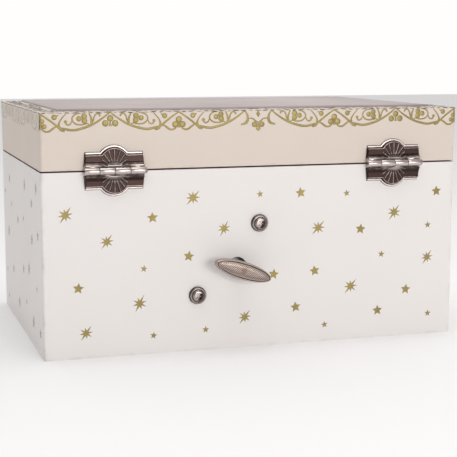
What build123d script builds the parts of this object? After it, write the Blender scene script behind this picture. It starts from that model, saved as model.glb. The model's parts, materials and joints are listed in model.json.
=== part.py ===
from build123d import *
import math
import os

# Ballerina jewellery box with a wind-up music movement. Millimetres, +Z up.
# Origin: middle of the underside. +Y is the back of the box, where the hinges and the key are.
# The box is drawn closed: the lid is down and the dancer is folded forwards on her spring.

# ---- box, driving dimensions ----
BOX_W = 190.0
BOX_D = 128.0
BODY_H = 80.0
LID_H = 25.0
WALL_T = 5.0
BASE_T = 4.0
LID_WALL_T = 5.0
LID_TOP_T = 3.0
SEAM_GAP = 0.4
EDGE_R = 1.0
BORDER_W = 9.0
PICTURE_T = 0.8
PICTURE_EDGE = 0.4
GLUE_GAP = 0.1

# ---- lining and compartments ----
FLOOR_LINING_T = 1.5
WALL_LINING_T = 1.0
LINING_RIM = 2.0
PARTITION_T = 3.0
PARTITION_TOP = 62.0
DECK_T = 2.0
BAY_HALF_W = 42.0
BAY_FRONT_Y = 2.0
RING_HALF_W = 30.0
RING_BED_TOP = 40.0
RING_ROLL_R = 5.3
RING_ROLL_STAND = 6.0
RING_ROLL_PITCH = 11.2
RING_ROLL_COUNT = 5

# ---- lid lining and mirror ----
LID_LINING_T = 3.0
MIRROR_W = 142.0
MIRROR_D = 86.0
MIRROR_T = 1.8
MIRROR_LAP = 3.0

# ---- hinges ----
HINGE_X = 64.0
HINGE_W = 26.0
BARREL_R = 1.65
BARREL_OFF_WALL = 0.35
PIN_R = 0.8
PIN_FIT = 0.05
PIN_HEAD_R = 1.3
PIN_HEAD_T = 0.9
KNUCKLE_OUTER = 6.6
KNUCKLE_GAP = 0.15
LEAF_H = 8.0
LEAF_FLANGE_H = 1.7
LEAF_FLANGE_T = 0.7
LEAF_LOW_T = 1.5
LEAF_HIGH_T = 2.7
SHELL_R = 7.6
SHELL_OUT = 10.9
SHELL_RIM_T = 0.35
SHELL_RIBS = 11
PRONG_R = 0.6
PRONG_L = 3.0
PRONG_FIT = 0.03
PRONG_X = 10.2
PRONG_UP = 5.6
LEAF_INSET = 0.8
LEAF_CROWN_H = 2.0
SHELL_BEVEL = 0.5
SHELL_RIM_IN = 0.55
SHELL_RIM_W = 0.55
RIB_W = 0.35
RIB_L = 4.6

# ---- music movement: the winding arbor's axis is its reference ----
KEY_X = 9.6
KEY_Z = 36.0
KEY_HOLE_R = 4.65
SCREW_UPPER = (-0.7, 55.3)
SCREW_LOWER = (27.7, 24.6)
BED_T = 3.0
BED_PAST_CYLINDER = 7.0
BED_CORNER_R = 3.0
BED_RIGHT = 23.5
BED_BELOW = 23.0
BED_ABOVE = 24.0
SHAFT_FIT = 0.05
LONG_SCREW_R = 1.45
LONG_SCREW_FIT = 0.15
LONG_SCREW_HEAD_R = 2.6
CUP_R = 3.85
CUP_T = 1.5
POST_R = 2.2
POST_CLEAR = 0.54
BRIDGE_T = 1.4
SMALL_SCREW_FIT = 0.1
SMALL_SCREW_L = 5.0

# winding arbor and key
ARBOR_R = 2.0
ARBOR_NECK_R = 1.5
KEY_STANDOFF = 8.0
KEY_L = 26.5
KEY_H = 7.8
KEY_T = 2.6
KEY_RIM = 0.9
KEY_DISH = 0.5
KEY_STEM_R = 2.9
KEY_TILT = 19.0

# spring barrel and crown wheel
BARREL_OUT_R = 11.0
BARREL_WALL = 0.7
BARREL_START = 2.6
BARREL_H = 5.8
CROWN_DISC_T = 1.0
TRAIN_MODULE = 0.6
CROWN_TEETH = 40
PINION_TEETH = 12
CROWN_FACE = 2.2
SPRING_STRIP = 0.35
SPRING_TURNS = 6
WRAP_WIRE_R = 0.3
WRAP_TURNS = 3

# pinned cylinder and comb
CYL_R = 6.5
CYL_L = 18.0
CYL_PAST_CROWN = 3.9
EAR_HALF_T = 1.0
EAR_R = 2.8
CYL_WALL = 0.8
PIN_LONG = 0.7
CYL_PIN_R = 0.25
NOTES = 18
PINS_PER_NOTE = 4
CYL_ARBOR_R = 1.0
COMB_T = 1.0
COMB_TIP_GAP = 0.25
COMB_L = 14.8
COMB_BASE = 6.0
COMB_SLOT = 0.22
COMB_SCREW_IN = 4.0
COMB_BASS_SLIT = 8.4
COMB_TREBLE_SLIT = 5.4

# governor
CYL_WHEEL_TEETH = 36
GOV_PINION_TEETH = 10
GOV_MODULE = 0.5
WORM_MODULE = 0.6
WORM_WHEEL_TEETH = 12
WORM_R = 1.5
FAN_R = 5.0
FAN_L = 5.0
FAN_HUB_R = 1.4
FAN_BLADE_T = 0.4
GOV_SHAFT_R = 0.7
GOV_PLATE_T = 1.2
GOV_SCREW_UP = 8.2
GOV_TOP = 10.4
GOV_EAR_T = 1.0

# dancer's drive
DRIVE_MODULE = 1.0
TAKEOFF_TEETH = 18
SPINDLE_TEETH = 28
DRIVE_FACE = 3.0
BRACKET_BOSS = 1.2
BRACKET_CLEAR = 0.7
BRACKET_T = 1.6
BRACKET_SCREW_UP = 5.2
BRACKET_RIGHT = 8.0
BRACKET_HALF_W = 4.5
SPINDLE_R = 1.5

# dancer
PIVOT_ABOVE_DECK = 4.0
DANCER_LEAN = 56.0
SPRING_HALF = 3.0
DANCER_SPRING_R = 2.0
DANCER_SPRING_WALL = 0.55
SOCKET_H = 2.0
DANCER_H = 35.5
DRAWN_DANCER_H = 35.5
SKIRT_R = 10.0
SKIRT_IN_R = 2.9
SKIRT_DROP = 1.2
SKIRT_T = 1.4
SKIRT_RIM_T = 0.8

# stop rod
STOP_X = 30.0
STOP_Y = 49.0
STOP_R = 1.2
STOP_FIT = 0.1
STOP_BELOW_LINING = 0.3

# ---- worked out from the values above ----
BOX_H = BODY_H + LID_H
IN_X = BOX_W / 2 - WALL_T
IN_Y = BOX_D / 2 - WALL_T
LID_LOW = BODY_H + SEAM_GAP
LID_CEIL = BOX_H - LID_TOP_T
DECK_LOW = PARTITION_TOP
DECK_TOP = DECK_LOW + DECK_T
FLOOR_Z = BASE_T + FLOOR_LINING_T
HINGE_Y = BOX_D / 2 + BARREL_R + BARREL_OFF_WALL
HINGE_Z = BODY_H + SEAM_GAP / 2
BED_Y = IN_Y - BED_T
CROWN_R = TRAIN_MODULE * CROWN_TEETH / 2
CROWN_TOP = BARREL_START + BARREL_H + CROWN_DISC_T
CROWN_TOOTH_H = 1.3
CROWN_REACH = CROWN_R + CROWN_FACE / 2
PINION_R = TRAIN_MODULE * PINION_TEETH / 2
CROWN_MESH_GAP = 0.75
CYL_START = CROWN_REACH + CYL_PAST_CROWN
CYL_Y = BED_Y - (CROWN_TOP + CROWN_MESH_GAP + PINION_R)
CYL_WHEEL_GAP = 1.6
CYL_WHEEL_X = KEY_X - CYL_START - CYL_L - CYL_WHEEL_GAP
GOV_DISTANCE = GOV_MODULE * (CYL_WHEEL_TEETH + GOV_PINION_TEETH) / 2
GOV_LIFT = 13.0
GOV_Y = CYL_Y + GOV_DISTANCE * math.sin(math.radians(GOV_LIFT))
GOV_Z = KEY_Z + GOV_DISTANCE * math.cos(math.radians(GOV_LIFT))
WORM_WHEEL_R = WORM_MODULE * WORM_WHEEL_TEETH / 2
WORM_X = KEY_X - CYL_START - CYL_L / 2 - CYL_WHEEL_GAP
WORM_Z = GOV_Z + WORM_WHEEL_R + WORM_R
DRIVE_DISTANCE = DRIVE_MODULE * (TAKEOFF_TEETH + SPINDLE_TEETH) / 2
SPINDLE_X = 0.0
SPINDLE_Y = CYL_Y - math.sqrt(DRIVE_DISTANCE ** 2 - (KEY_X - SPINDLE_X) ** 2)
BRACKET_Z = KEY_Z + CROWN_REACH + BRACKET_CLEAR + BRACKET_BOSS
GEAR_Z = BRACKET_Z + BRACKET_T + 1.0
PIVOT_Z = DECK_TOP + PIVOT_ABOVE_DECK
SCREW_HEAD_R = 1.9
SCREW_R = 1.0


def block(x0, x1, y0, y1, z0, z1):
    """A box given by its two corners."""
    middle = Pos((x0 + x1) / 2, (y0 + y1) / 2, (z0 + z1) / 2)
    return middle * Box(abs(x1 - x0), abs(y1 - y0), abs(z1 - z0))


def rod_x(x0, x1, y, z, r):
    return Pos((x0 + x1) / 2, y, z) * Rot(0, 90, 0) * Cylinder(r, abs(x1 - x0))


def rod_y(y0, y1, x, z, r):
    return Pos(x, (y0 + y1) / 2, z) * Rot(90, 0, 0) * Cylinder(r, abs(y1 - y0))


def rod_z(z0, z1, x, y, r):
    return Pos(x, y, (z0 + z1) / 2) * Cylinder(r, abs(z1 - z0))


def limb(start, end, r0, r1):
    """A tapering round limb with rounded ends between two points."""
    a = Vector(*start)
    b = Vector(*end)
    taper = Plane(origin=(a + b) / 2, z_dir=b - a) * Cone(r0, r1, (b - a).length)
    return taper + Pos(a) * Sphere(r0) + Pos(b) * Sphere(r1)


def gear_blank(module, teeth, width, phase, share=0.32):
    """A spur gear about Z, standing on z = 0. One tooth is centred on the angle phase.
    The teeth are thin for running clearance: share is the tooth's part of the pitch."""
    pitch_r = module * teeth / 2
    tip_r = pitch_r + 0.85 * module
    root_r = pitch_r - 1.15 * module
    step = 360 / teeth
    points = []
    for k in range(teeth):
        middle = phase + k * step
        for radius, half in ((root_r, 0.45 * share / 0.32), (tip_r, 0.17)):
            points.append((radius, middle - half * step / 2))
        for radius, half in ((tip_r, 0.17), (root_r, 0.45 * share / 0.32)):
            points.append((radius, middle + half * step / 2))
    outline = []
    for radius, angle in points:
        turn = math.radians(angle)
        outline.append((radius * math.cos(turn), radius * math.sin(turn)))
    return extrude(make_face(Polyline(*outline, close=True)), width)


def along_x(shape, x, y, z):
    """Turns a shape made about Z to lie along +X, its own X axis pointing down, and places it."""
    return Pos(x, y, z) * Rot(0, 90, 0) * shape


def along_y(shape, x, y, z):
    """Turns a shape made about Z to lie along -Y and places it, so its own Y points up."""
    return Pos(x, y, z) * Rot(90, 0, 0) * shape


# ---- box body ----

def outer_edge(wall):
    """Rounds a board's upright outer edges a little, as paper-covered board is."""
    edges = wall.edges().filter_by(Axis.Z)
    corners = [e for e in edges if abs(abs(e.center().X) - BOX_W / 2) < 0.01]
    corners = [e for e in corners if abs(abs(e.center().Y) - BOX_D / 2) < 0.01]
    return fillet(corners, EDGE_R)


def prong_places(up):
    """Where a hinge leaf's prongs enter the board, on both hinges: (x, z)."""
    places = []
    for side in (-1, 1):
        for offset in (-PRONG_X, PRONG_X):
            places.append((side * HINGE_X + offset, HINGE_Z + up * PRONG_UP))
    return places


def prong_holes(up):
    holes = []
    for x, z in prong_places(up):
        holes.append(rod_y(BOX_D / 2 + 1, BOX_D / 2 - PRONG_L - 0.2, x, z, PRONG_R + PRONG_FIT))
    return holes


def front_wall():
    return outer_edge(block(-BOX_W / 2, BOX_W / 2, -BOX_D / 2, -IN_Y, 0, BODY_H))


def back_wall():
    wall = outer_edge(block(-BOX_W / 2, BOX_W / 2, IN_Y, BOX_D / 2, 0, BODY_H))
    wall -= rod_y(IN_Y - 1, BOX_D / 2 + 1, KEY_X, KEY_Z, KEY_HOLE_R)
    for x, z in (SCREW_UPPER, SCREW_LOWER):
        wall -= rod_y(IN_Y - 1, BOX_D / 2 + 1, x, z, LONG_SCREW_R + LONG_SCREW_FIT)
    for hole in prong_holes(-1):
        wall -= hole
    return wall


def side_wall(side):
    return block(side * IN_X, side * BOX_W / 2, -IN_Y, IN_Y, 0, BODY_H)


def base_board():
    return block(-IN_X, IN_X, -IN_Y, IN_Y, 0, BASE_T)


def floor_lining():
    gap = GLUE_GAP
    return block(-IN_X + gap, IN_X - gap, -IN_Y + gap, IN_Y - gap, BASE_T, FLOOR_Z)


def wall_lining():
    """A velvet-covered card sleeve against the four walls, open where the movement bay meets the back."""
    top = BODY_H - LINING_RIM
    gap = GLUE_GAP
    sleeve = block(-IN_X + gap, IN_X - gap, -IN_Y + gap, IN_Y - gap, FLOOR_Z, top)
    inset = gap + WALL_LINING_T
    sleeve -= block(-IN_X + inset, IN_X - inset, -IN_Y + inset, IN_Y - inset, FLOOR_Z - 1, top + 1)
    window = BAY_HALF_W + PARTITION_T + gap
    sleeve -= block(-window, window, IN_Y - 3, IN_Y + 1, FLOOR_Z - 1, DECK_TOP + gap)
    return sleeve


# ---- partitions, deck and ring rolls ----

def long_partition():
    x = IN_X - WALL_LINING_T - 2 * GLUE_GAP
    return block(-x, x, BAY_FRONT_Y - PARTITION_T, BAY_FRONT_Y, FLOOR_Z, PARTITION_TOP)


def bay_partition(side):
    x0 = side * BAY_HALF_W
    x1 = side * (BAY_HALF_W + PARTITION_T)
    return block(x0, x1, BAY_FRONT_Y + GLUE_GAP, IN_Y, FLOOR_Z, PARTITION_TOP)


def front_partition(side):
    x0 = side * RING_HALF_W
    x1 = side * (RING_HALF_W + PARTITION_T)
    y0 = -IN_Y + WALL_LINING_T + 2 * GLUE_GAP
    return block(x0, x1, y0, BAY_FRONT_Y - PARTITION_T - GLUE_GAP, FLOOR_Z, PARTITION_TOP)


def deck():
    """The platform over the movement, with the dancer's bush hole and the stop rod's hole."""
    x = BAY_HALF_W + PARTITION_T
    plate = block(-x, x, BAY_FRONT_Y - PARTITION_T, IN_Y, DECK_LOW, DECK_TOP)
    plate -= rod_z(DECK_LOW - 1, DECK_TOP + 1, SPINDLE_X, SPINDLE_Y, SPINDLE_R + 1.6)
    plate -= rod_z(DECK_LOW - 1, DECK_TOP + 1, STOP_X, STOP_Y, STOP_R + STOP_FIT)
    return plate


def ring_span():
    y0 = -IN_Y + WALL_LINING_T + 3 * GLUE_GAP
    y1 = BAY_FRONT_Y - PARTITION_T - 2 * GLUE_GAP
    return y0, y1


def ring_bed():
    x = RING_HALF_W - GLUE_GAP
    y0, y1 = ring_span()
    return block(-x, x, y0, y1, FLOOR_Z, RING_BED_TOP)


def ring_rolls():
    """Soft rolls side by side; a ring is pushed down between two of them."""
    x = RING_HALF_W - GLUE_GAP
    y0, y1 = ring_span()
    first = (y0 + y1) / 2 - RING_ROLL_PITCH * (RING_ROLL_COUNT - 1) / 2
    rolls = []
    for k in range(RING_ROLL_COUNT):
        y = first + k * RING_ROLL_PITCH
        middle = RING_BED_TOP + RING_ROLL_STAND
        roll = block(-x, x, y - RING_ROLL_R, y + RING_ROLL_R, RING_BED_TOP, middle)
        roll += rod_x(-x, x, y, middle, RING_ROLL_R)
        rolls.append(roll)
    return Compound(children=rolls)


# ---- lid ----

def lid_top():
    board = block(-BOX_W / 2, BOX_W / 2, -BOX_D / 2, BOX_D / 2, LID_CEIL, BOX_H)
    board = fillet(board.edges().filter_by(Axis.Z), EDGE_R)
    return fillet(board.faces().sort_by(Axis.Z)[-1].edges(), EDGE_R * 0.6)


def lid_long_wall(side):
    inner = side * (BOX_D / 2 - LID_WALL_T)
    wall = outer_edge(block(-BOX_W / 2, BOX_W / 2, inner, side * BOX_D / 2, LID_LOW, LID_CEIL))
    if side > 0:
        for hole in prong_holes(1):
            wall -= hole
    return wall


def lid_side_wall(side):
    y = BOX_D / 2 - LID_WALL_T
    return block(side * (BOX_W / 2 - LID_WALL_T), side * BOX_W / 2, -y, y, LID_LOW, LID_CEIL)


def lid_picture():
    """The thin raised panel inside the printed border."""
    x = BOX_W / 2 - BORDER_W
    y = BOX_D / 2 - BORDER_W
    panel = block(-x, x, -y, y, BOX_H, BOX_H + PICTURE_T)
    return chamfer(panel.faces().sort_by(Axis.Z)[-1].edges(), PICTURE_EDGE)


def lid_lining():
    """The covered card that frames the mirror under the lid."""
    x = BOX_W / 2 - LID_WALL_T - GLUE_GAP
    y = BOX_D / 2 - LID_WALL_T - GLUE_GAP
    low = LID_CEIL - LID_LINING_T
    frame = block(-x, x, -y, y, low, LID_CEIL)
    pocket = MIRROR_T + 2 * GLUE_GAP
    half_w = MIRROR_W / 2 + GLUE_GAP
    half_d = MIRROR_D / 2 + GLUE_GAP
    frame -= block(-half_w, half_w, -half_d, half_d, LID_CEIL - pocket, LID_CEIL + 1)
    half_w = MIRROR_W / 2 - MIRROR_LAP
    half_d = MIRROR_D / 2 - MIRROR_LAP
    frame -= block(-half_w, half_w, -half_d, half_d, low - 1, LID_CEIL + 1)
    return frame


def mirror():
    high = LID_CEIL - GLUE_GAP
    return block(-MIRROR_W / 2, MIRROR_W / 2, -MIRROR_D / 2, MIRROR_D / 2, high - MIRROR_T, high)


# ---- hinges ----

def leaf_section(width, inner, outer, low, high):
    """A stamped strip: full depth near the barrel, falling towards its outer edge, drawn upwards."""
    wall = BOX_D / 2
    outline = Polyline((wall, inner), (wall + high, inner), (wall + high, inner + LEAF_CROWN_H),
                       (wall + low, outer), (wall, outer), close=True)
    return extrude(Plane.YZ * make_face(outline), width / 2, both=True)


def hinge_leaf(side, up):
    """One stamped leaf: a winged strip, a ribbed shell lobe, its barrel knuckles and two prongs.
    up is 1 for the lid's leaf, which has the two outer knuckles, and -1 for the body's leaf."""
    wall = BOX_D / 2
    near = BARREL_R + BARREL_OFF_WALL
    step = LEAF_H - LEAF_FLANGE_H
    leaf = leaf_section(HINGE_W - LEAF_INSET, near, step, LEAF_LOW_T, LEAF_HIGH_T)
    reach = HINGE_W / 2 - LEAF_INSET
    leaf += block(-reach, reach, wall, wall + LEAF_FLANGE_T, step - 0.5, LEAF_H)
    centre = SHELL_OUT - SHELL_R
    disc = Pos(0, wall, centre) * Rot(-90, 0, 0) * Cylinder(SHELL_R, LEAF_LOW_T + 0.2,
                                                           align=(Align.CENTER, Align.CENTER, Align.MIN))
    lobe = chamfer(disc.faces().sort_by(Axis.Y)[-1].edges(), SHELL_BEVEL)
    lobe -= block(-20, 20, wall - 1, wall + 5, -20, near)
    leaf += lobe
    rim_r = SHELL_R - SHELL_RIM_IN
    rim = Cylinder(rim_r, 2 * SHELL_RIM_T + 0.4) - Cylinder(rim_r - SHELL_RIM_W, 4)
    rim = Pos(0, wall + LEAF_LOW_T, centre) * Rot(-90, 0, 0) * rim
    rim -= block(-20, 20, wall - 1, wall + 5, -20, step)
    leaf += rim
    for k in range(SHELL_RIBS):
        turn = -60 + 120 * k / (SHELL_RIBS - 1)
        rib = Pos(0, wall + LEAF_LOW_T + 0.2, centre) * Rot(0, turn, 0) * Pos(0, 0, SHELL_R - 3.6)
        leaf += rib * Box(RIB_W, 0.5, RIB_L)
    leaf = leaf - block(-20, 20, wall - 5, wall, -20, 20)
    for offset in (-PRONG_X, PRONG_X):
        leaf += rod_y(wall - PRONG_L, wall + 0.3, offset, PRONG_UP, PRONG_R)
    if up < 0:
        leaf = mirror_down(leaf)
    leaf = knuckles(leaf, up)
    return Pos(side * HINGE_X, 0, HINGE_Z) * leaf


def mirror_down(shape):
    return shape.mirror(Plane.XY)


def knuckles(leaf, up):
    """Adds the leaf's rolled knuckles, frees the other leaf's, and bores them for the pin."""
    half = HINGE_W / 2
    outer = [(-half, -KNUCKLE_OUTER), (KNUCKLE_OUTER, half)]
    inner = [(-KNUCKLE_OUTER, 0), (0, KNUCKLE_OUTER)]
    mine = outer if up > 0 else inner
    other = inner if up > 0 else outer
    for x0, x1 in mine:
        cut = KNUCKLE_GAP / 2
        barrel = rod_x(x0 + cut, x1 - cut, HINGE_Y, 0, BARREL_R)
        wall = BOX_D / 2
        neck_low = 0.25 if up > 0 else -BARREL_R - 0.6
        neck_high = BARREL_R + 0.6 if up > 0 else -0.25
        neck = block(x0 + cut, x1 - cut, wall + 0.1, HINGE_Y - 0.3, neck_low, neck_high)
        leaf += barrel + neck
    for x0, x1 in other:
        grow = KNUCKLE_GAP / 2
        leaf -= rod_x(x0 - grow, x1 + grow, HINGE_Y, 0, BARREL_R + 0.3)
    return leaf - rod_x(-half - 1, half + 1, HINGE_Y, 0, PIN_R + PIN_FIT)


def hinge_pins():
    pins = []
    for side in (-1, 1):
        x = side * HINGE_X
        pin = rod_x(x - HINGE_W / 2 - 0.1, x + HINGE_W / 2, HINGE_Y, HINGE_Z, PIN_R)
        head = rod_x(x - HINGE_W / 2 - PIN_HEAD_T - 0.1, x - HINGE_W / 2 - 0.1, HINGE_Y, HINGE_Z, PIN_HEAD_R)
        rounded = head.faces().sort_by(Axis.X)[0].edges()
        pins.append(pin + fillet(rounded, PIN_HEAD_T * 0.7))
    return Compound(children=pins)


# ---- movement, fixed pieces ----

def from_key(u, w):
    """Box coordinates (x, z) of a place u to the left and w above the winding arbor."""
    return KEY_X - u, KEY_Z + w


def bedplate():
    x0, z0 = from_key(CYL_START + CYL_L + BED_PAST_CYLINDER, -BED_BELOW)
    x1, z1 = from_key(-BED_RIGHT, BED_ABOVE)
    plate = block(x0, x1, BED_Y, IN_Y, z0, z1)
    plate = fillet(plate.edges().filter_by(Axis.Y), BED_CORNER_R)
    plate += cylinder_post(CYL_START - 2.7)
    plate += cylinder_post(CYL_START + CYL_L + 3.2)
    plate += comb_foot()
    for x, z in bridge_posts():
        plate += rod_y(BED_Y + 0.5, bridge_y(), x, z, POST_R)
    plate -= rod_x(-60, 60, CYL_Y, KEY_Z, CYL_ARBOR_R + SHAFT_FIT)
    plate -= rod_y(BED_Y - 1, IN_Y + 1, KEY_X, KEY_Z, ARBOR_R + SHAFT_FIT)
    for x, z in (SCREW_UPPER, SCREW_LOWER):
        plate -= rod_y(BED_Y - 1, IN_Y + 1, x, z, LONG_SCREW_R + SHAFT_FIT)
    plate -= rod_y(BED_Y - 1, IN_Y + 1, WORM_X, WORM_Z, GOV_SHAFT_R + SHAFT_FIT)
    for tapped in bed_screw_places():
        plate -= tapped_hole(*tapped)
    return plate


def cylinder_post(u):
    """A cast ear that carries one end of the cylinder's arbor."""
    x = KEY_X - u
    x0 = x - EAR_HALF_T
    x1 = x + EAR_HALF_T
    ear = block(x0, x1, CYL_Y, BED_Y + 0.5, KEY_Z - EAR_R, KEY_Z + EAR_R)
    return ear + rod_x(x0, x1, CYL_Y, KEY_Z, EAR_R)


def comb_top():
    """Height of the comb's tips, just clear of the pins."""
    return KEY_Z - CYL_R - PIN_LONG - COMB_TIP_GAP


def comb_span():
    return KEY_X - CYL_START - CYL_L, KEY_X - CYL_START


def comb_foot():
    x0, x1 = comb_span()
    low = comb_top() - COMB_L
    return block(x0, x1, CYL_Y + COMB_T / 2, BED_Y + 0.5, low, low + COMB_BASE)


def bridge_posts():
    reach = (CROWN_REACH + POST_R + POST_CLEAR) / math.sqrt(2)
    return [from_key(reach, -reach), from_key(-reach, reach)]


def bridge_y():
    return BED_Y - CROWN_TOP - CROWN_TOOTH_H - 0.6


def bed_screw_places():
    """Each small screw in the bed: (x, z, face y under its head, depth)."""
    places = []
    for x, z in bridge_posts():
        places.append((x, z, bridge_y() - BRIDGE_T, SMALL_SCREW_L))
    x0, x1 = comb_span()
    z = comb_top() - COMB_L + COMB_BASE / 2
    for x in (x0 + COMB_SCREW_IN, x1 - COMB_SCREW_IN):
        places.append((x, z, CYL_Y - COMB_T / 2, SMALL_SCREW_L))
    for x in bracket_screw_x():
        places.append((x, BRACKET_Z + BRACKET_SCREW_UP, BED_Y - BRACKET_T, SMALL_SCREW_L - BRACKET_T + 0.6))
    for x in governor_screw_x():
        places.append((x, GOV_Z + GOV_SCREW_UP, BED_Y - GOV_PLATE_T, SMALL_SCREW_L - GOV_PLATE_T - 0.2))
    return places


def tapped_hole(x, z, face_y, depth):
    return rod_y(face_y - 0.5, face_y + depth + 0.3, x, z, SCREW_R + SHAFT_FIT)


def small_screw(x, z, face_y, depth):
    """A slotted cheese-head screw driven towards the back wall."""
    head = rod_y(face_y - 1.1, face_y, x, z, SCREW_HEAD_R)
    head -= block(x - 3, x + 3, face_y - 1.2, face_y - 0.7, z - 0.25, z + 0.25)
    return head + rod_y(face_y - 0.5, face_y + depth, x, z, SCREW_R)


def bed_screws():
    return Compound(children=[small_screw(*place) for place in bed_screw_places()])


def barrel_bridge():
    """The strip across the barrel that carries the arbor's inner end."""
    y = bridge_y()
    reach = bridge_posts()[0]
    length = 2 * math.hypot(reach[0] - KEY_X, reach[1] - KEY_Z) + 5.2
    strip = Pos(KEY_X, y - BRIDGE_T / 2, KEY_Z) * Rot(0, -45, 0) * Box(length, BRIDGE_T, 5.0)
    strip = fillet(strip.edges().filter_by(Axis.Y), 2.2)
    strip -= rod_y(y - 3, y + 3, KEY_X, KEY_Z, ARBOR_NECK_R + SHAFT_FIT)
    for x, z in bridge_posts():
        strip -= rod_y(y - 3, y + 3, x, z, SCREW_R + SMALL_SCREW_FIT)
    return strip


def comb():
    """A steel plate slit into eighteen teeth; the bass teeth are slit deeper."""
    x0, x1 = comb_span()
    high = comb_top()
    plate = block(x0, x1, CYL_Y - COMB_T / 2, CYL_Y + COMB_T / 2, high - COMB_L, high)
    pitch = (x1 - x0) / NOTES
    for k in range(1, NOTES):
        depth = COMB_BASS_SLIT - (COMB_BASS_SLIT - COMB_TREBLE_SLIT) * k / NOTES
        x = x0 + k * pitch
        plate -= block(x - COMB_SLOT / 2, x + COMB_SLOT / 2, CYL_Y - 2, CYL_Y + 2, high - depth, high + 1)
    z = comb_top() - COMB_L + COMB_BASE / 2
    for x in (x0 + COMB_SCREW_IN, x1 - COMB_SCREW_IN):
        plate -= rod_y(CYL_Y - 2, CYL_Y + 2, x, z, SCREW_R + SMALL_SCREW_FIT)
    return plate


def wrap_spring():
    """The coil round the arbor that lets the key turn one way only."""
    coil_r = ARBOR_R + 0.1 + WRAP_WIRE_R
    pitch = 2 * WRAP_WIRE_R + 0.02
    path = Helix(pitch, WRAP_TURNS * pitch - 0.1, coil_r)
    wire = Plane(origin=path @ 0, z_dir=path % 0) * Circle(WRAP_WIRE_R)
    coil = sweep(wire, path=path, is_frenet=True)
    return along_y(coil, KEY_X, BED_Y - 0.02 - WRAP_WIRE_R, KEY_Z)


def movement_screws():
    """The two long screws that hold the movement to the back wall, their heads in cup washers."""
    screws = []
    for x, z in (SCREW_UPPER, SCREW_LOWER):
        y = BOX_D / 2
        shank = rod_y(BED_Y + 0.2, y + 1.2, x, z, LONG_SCREW_R)
        dome = rod_y(y + 0.9, y + 0.9 + CUP_T, x, z, LONG_SCREW_HEAD_R)
        dome = fillet(dome.faces().sort_by(Axis.Y)[-1].edges(), 1.0)
        for turn in (38, 128):
            dome -= Pos(x, y + 2.4, z) * Rot(0, turn, 0) * Box(3.0, 1.6, 0.7)
        screws.append(shank + dome)
    return Compound(children=screws)


def cup_washers():
    """Round finishing washers: a raised outer ring with a seat for the screw head."""
    washers = []
    for x, z in (SCREW_UPPER, SCREW_LOWER):
        y = BOX_D / 2
        ring = rod_y(y, y + CUP_T, x, z, CUP_R)
        ring = fillet(ring.faces().sort_by(Axis.Y)[-1].edges(), 0.9)
        ring -= rod_y(y - 1, y + 3, x, z, LONG_SCREW_R + LONG_SCREW_FIT)
        ring -= rod_y(y + 0.85, y + 3, x, z, LONG_SCREW_HEAD_R + LONG_SCREW_FIT)
        washers.append(ring)
    return Compound(children=washers)


# ---- winding ----

def winding_arbor():
    y_in = bridge_y() - BRIDGE_T - 0.5
    arbor = rod_y(BED_Y - 2.4, BOX_D / 2 + KEY_STANDOFF - 1.5, KEY_X, KEY_Z, ARBOR_R)
    arbor += rod_y(y_in, BED_Y - 2.0, KEY_X, KEY_Z, ARBOR_NECK_R)
    return arbor


def winding_key():
    """A long oval thumb plate with a raised rim, parallel to the wall, on a round stem."""
    y0 = BOX_D / 2 + KEY_STANDOFF
    oval = Ellipse(KEY_L / 2, KEY_H / 2)
    plate = extrude(oval, KEY_T)
    plate = fillet(plate.edges(), 0.6)
    dish = extrude(Pos(0, 0, KEY_T - KEY_DISH) * Ellipse(KEY_L / 2 - KEY_RIM, KEY_H / 2 - KEY_RIM), 1)
    plate -= dish
    key = Pos(KEY_X, y0, KEY_Z) * Rot(0, -KEY_TILT, 0) * Rot(-90, 0, 0) * plate
    key += rod_y(BOX_D / 2 - 1.5, y0 + 0.3, KEY_X, KEY_Z, KEY_STEM_R)
    return key - rod_y(0, y0 - 1.5, KEY_X, KEY_Z, ARBOR_R)


# ---- spring barrel ----

def spring_barrel():
    y0 = BED_Y - BARREL_START
    y1 = y0 - BARREL_H
    drum = rod_y(y0, y1, KEY_X, KEY_Z, BARREL_OUT_R)
    drum -= rod_y(y0 - BARREL_WALL, y1 - 1, KEY_X, KEY_Z, BARREL_OUT_R - BARREL_WALL)
    return drum - rod_y(y0 + 1, y1 - 1, KEY_X, KEY_Z, ARBOR_R + SHAFT_FIT)


def crown_wheel():
    """The barrel's cover, with teeth standing on its face towards the cylinder's pinion."""
    y0 = BED_Y - BARREL_START - BARREL_H
    disc = Cylinder(CROWN_REACH, CROWN_DISC_T, align=(Align.CENTER, Align.CENTER, Align.MIN))
    pitch = math.pi * CROWN_R * 2 / CROWN_TEETH
    for k in range(CROWN_TEETH):
        profile = Polyline((-0.23 * pitch, -0.2), (0.23 * pitch, -0.2), (0.09 * pitch, CROWN_TOOTH_H),
                           (-0.09 * pitch, CROWN_TOOTH_H), close=True)
        tooth = extrude(Plane.XZ * make_face(profile), CROWN_FACE / 2, both=True)
        turn = (k + 0.5) * 360 / CROWN_TEETH
        disc += Rot(0, 0, turn) * Pos(0, CROWN_R, CROWN_DISC_T) * tooth
    disc -= Cylinder(ARBOR_NECK_R + SHAFT_FIT, 20)
    return along_y(disc, KEY_X, y0, KEY_Z)


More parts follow.
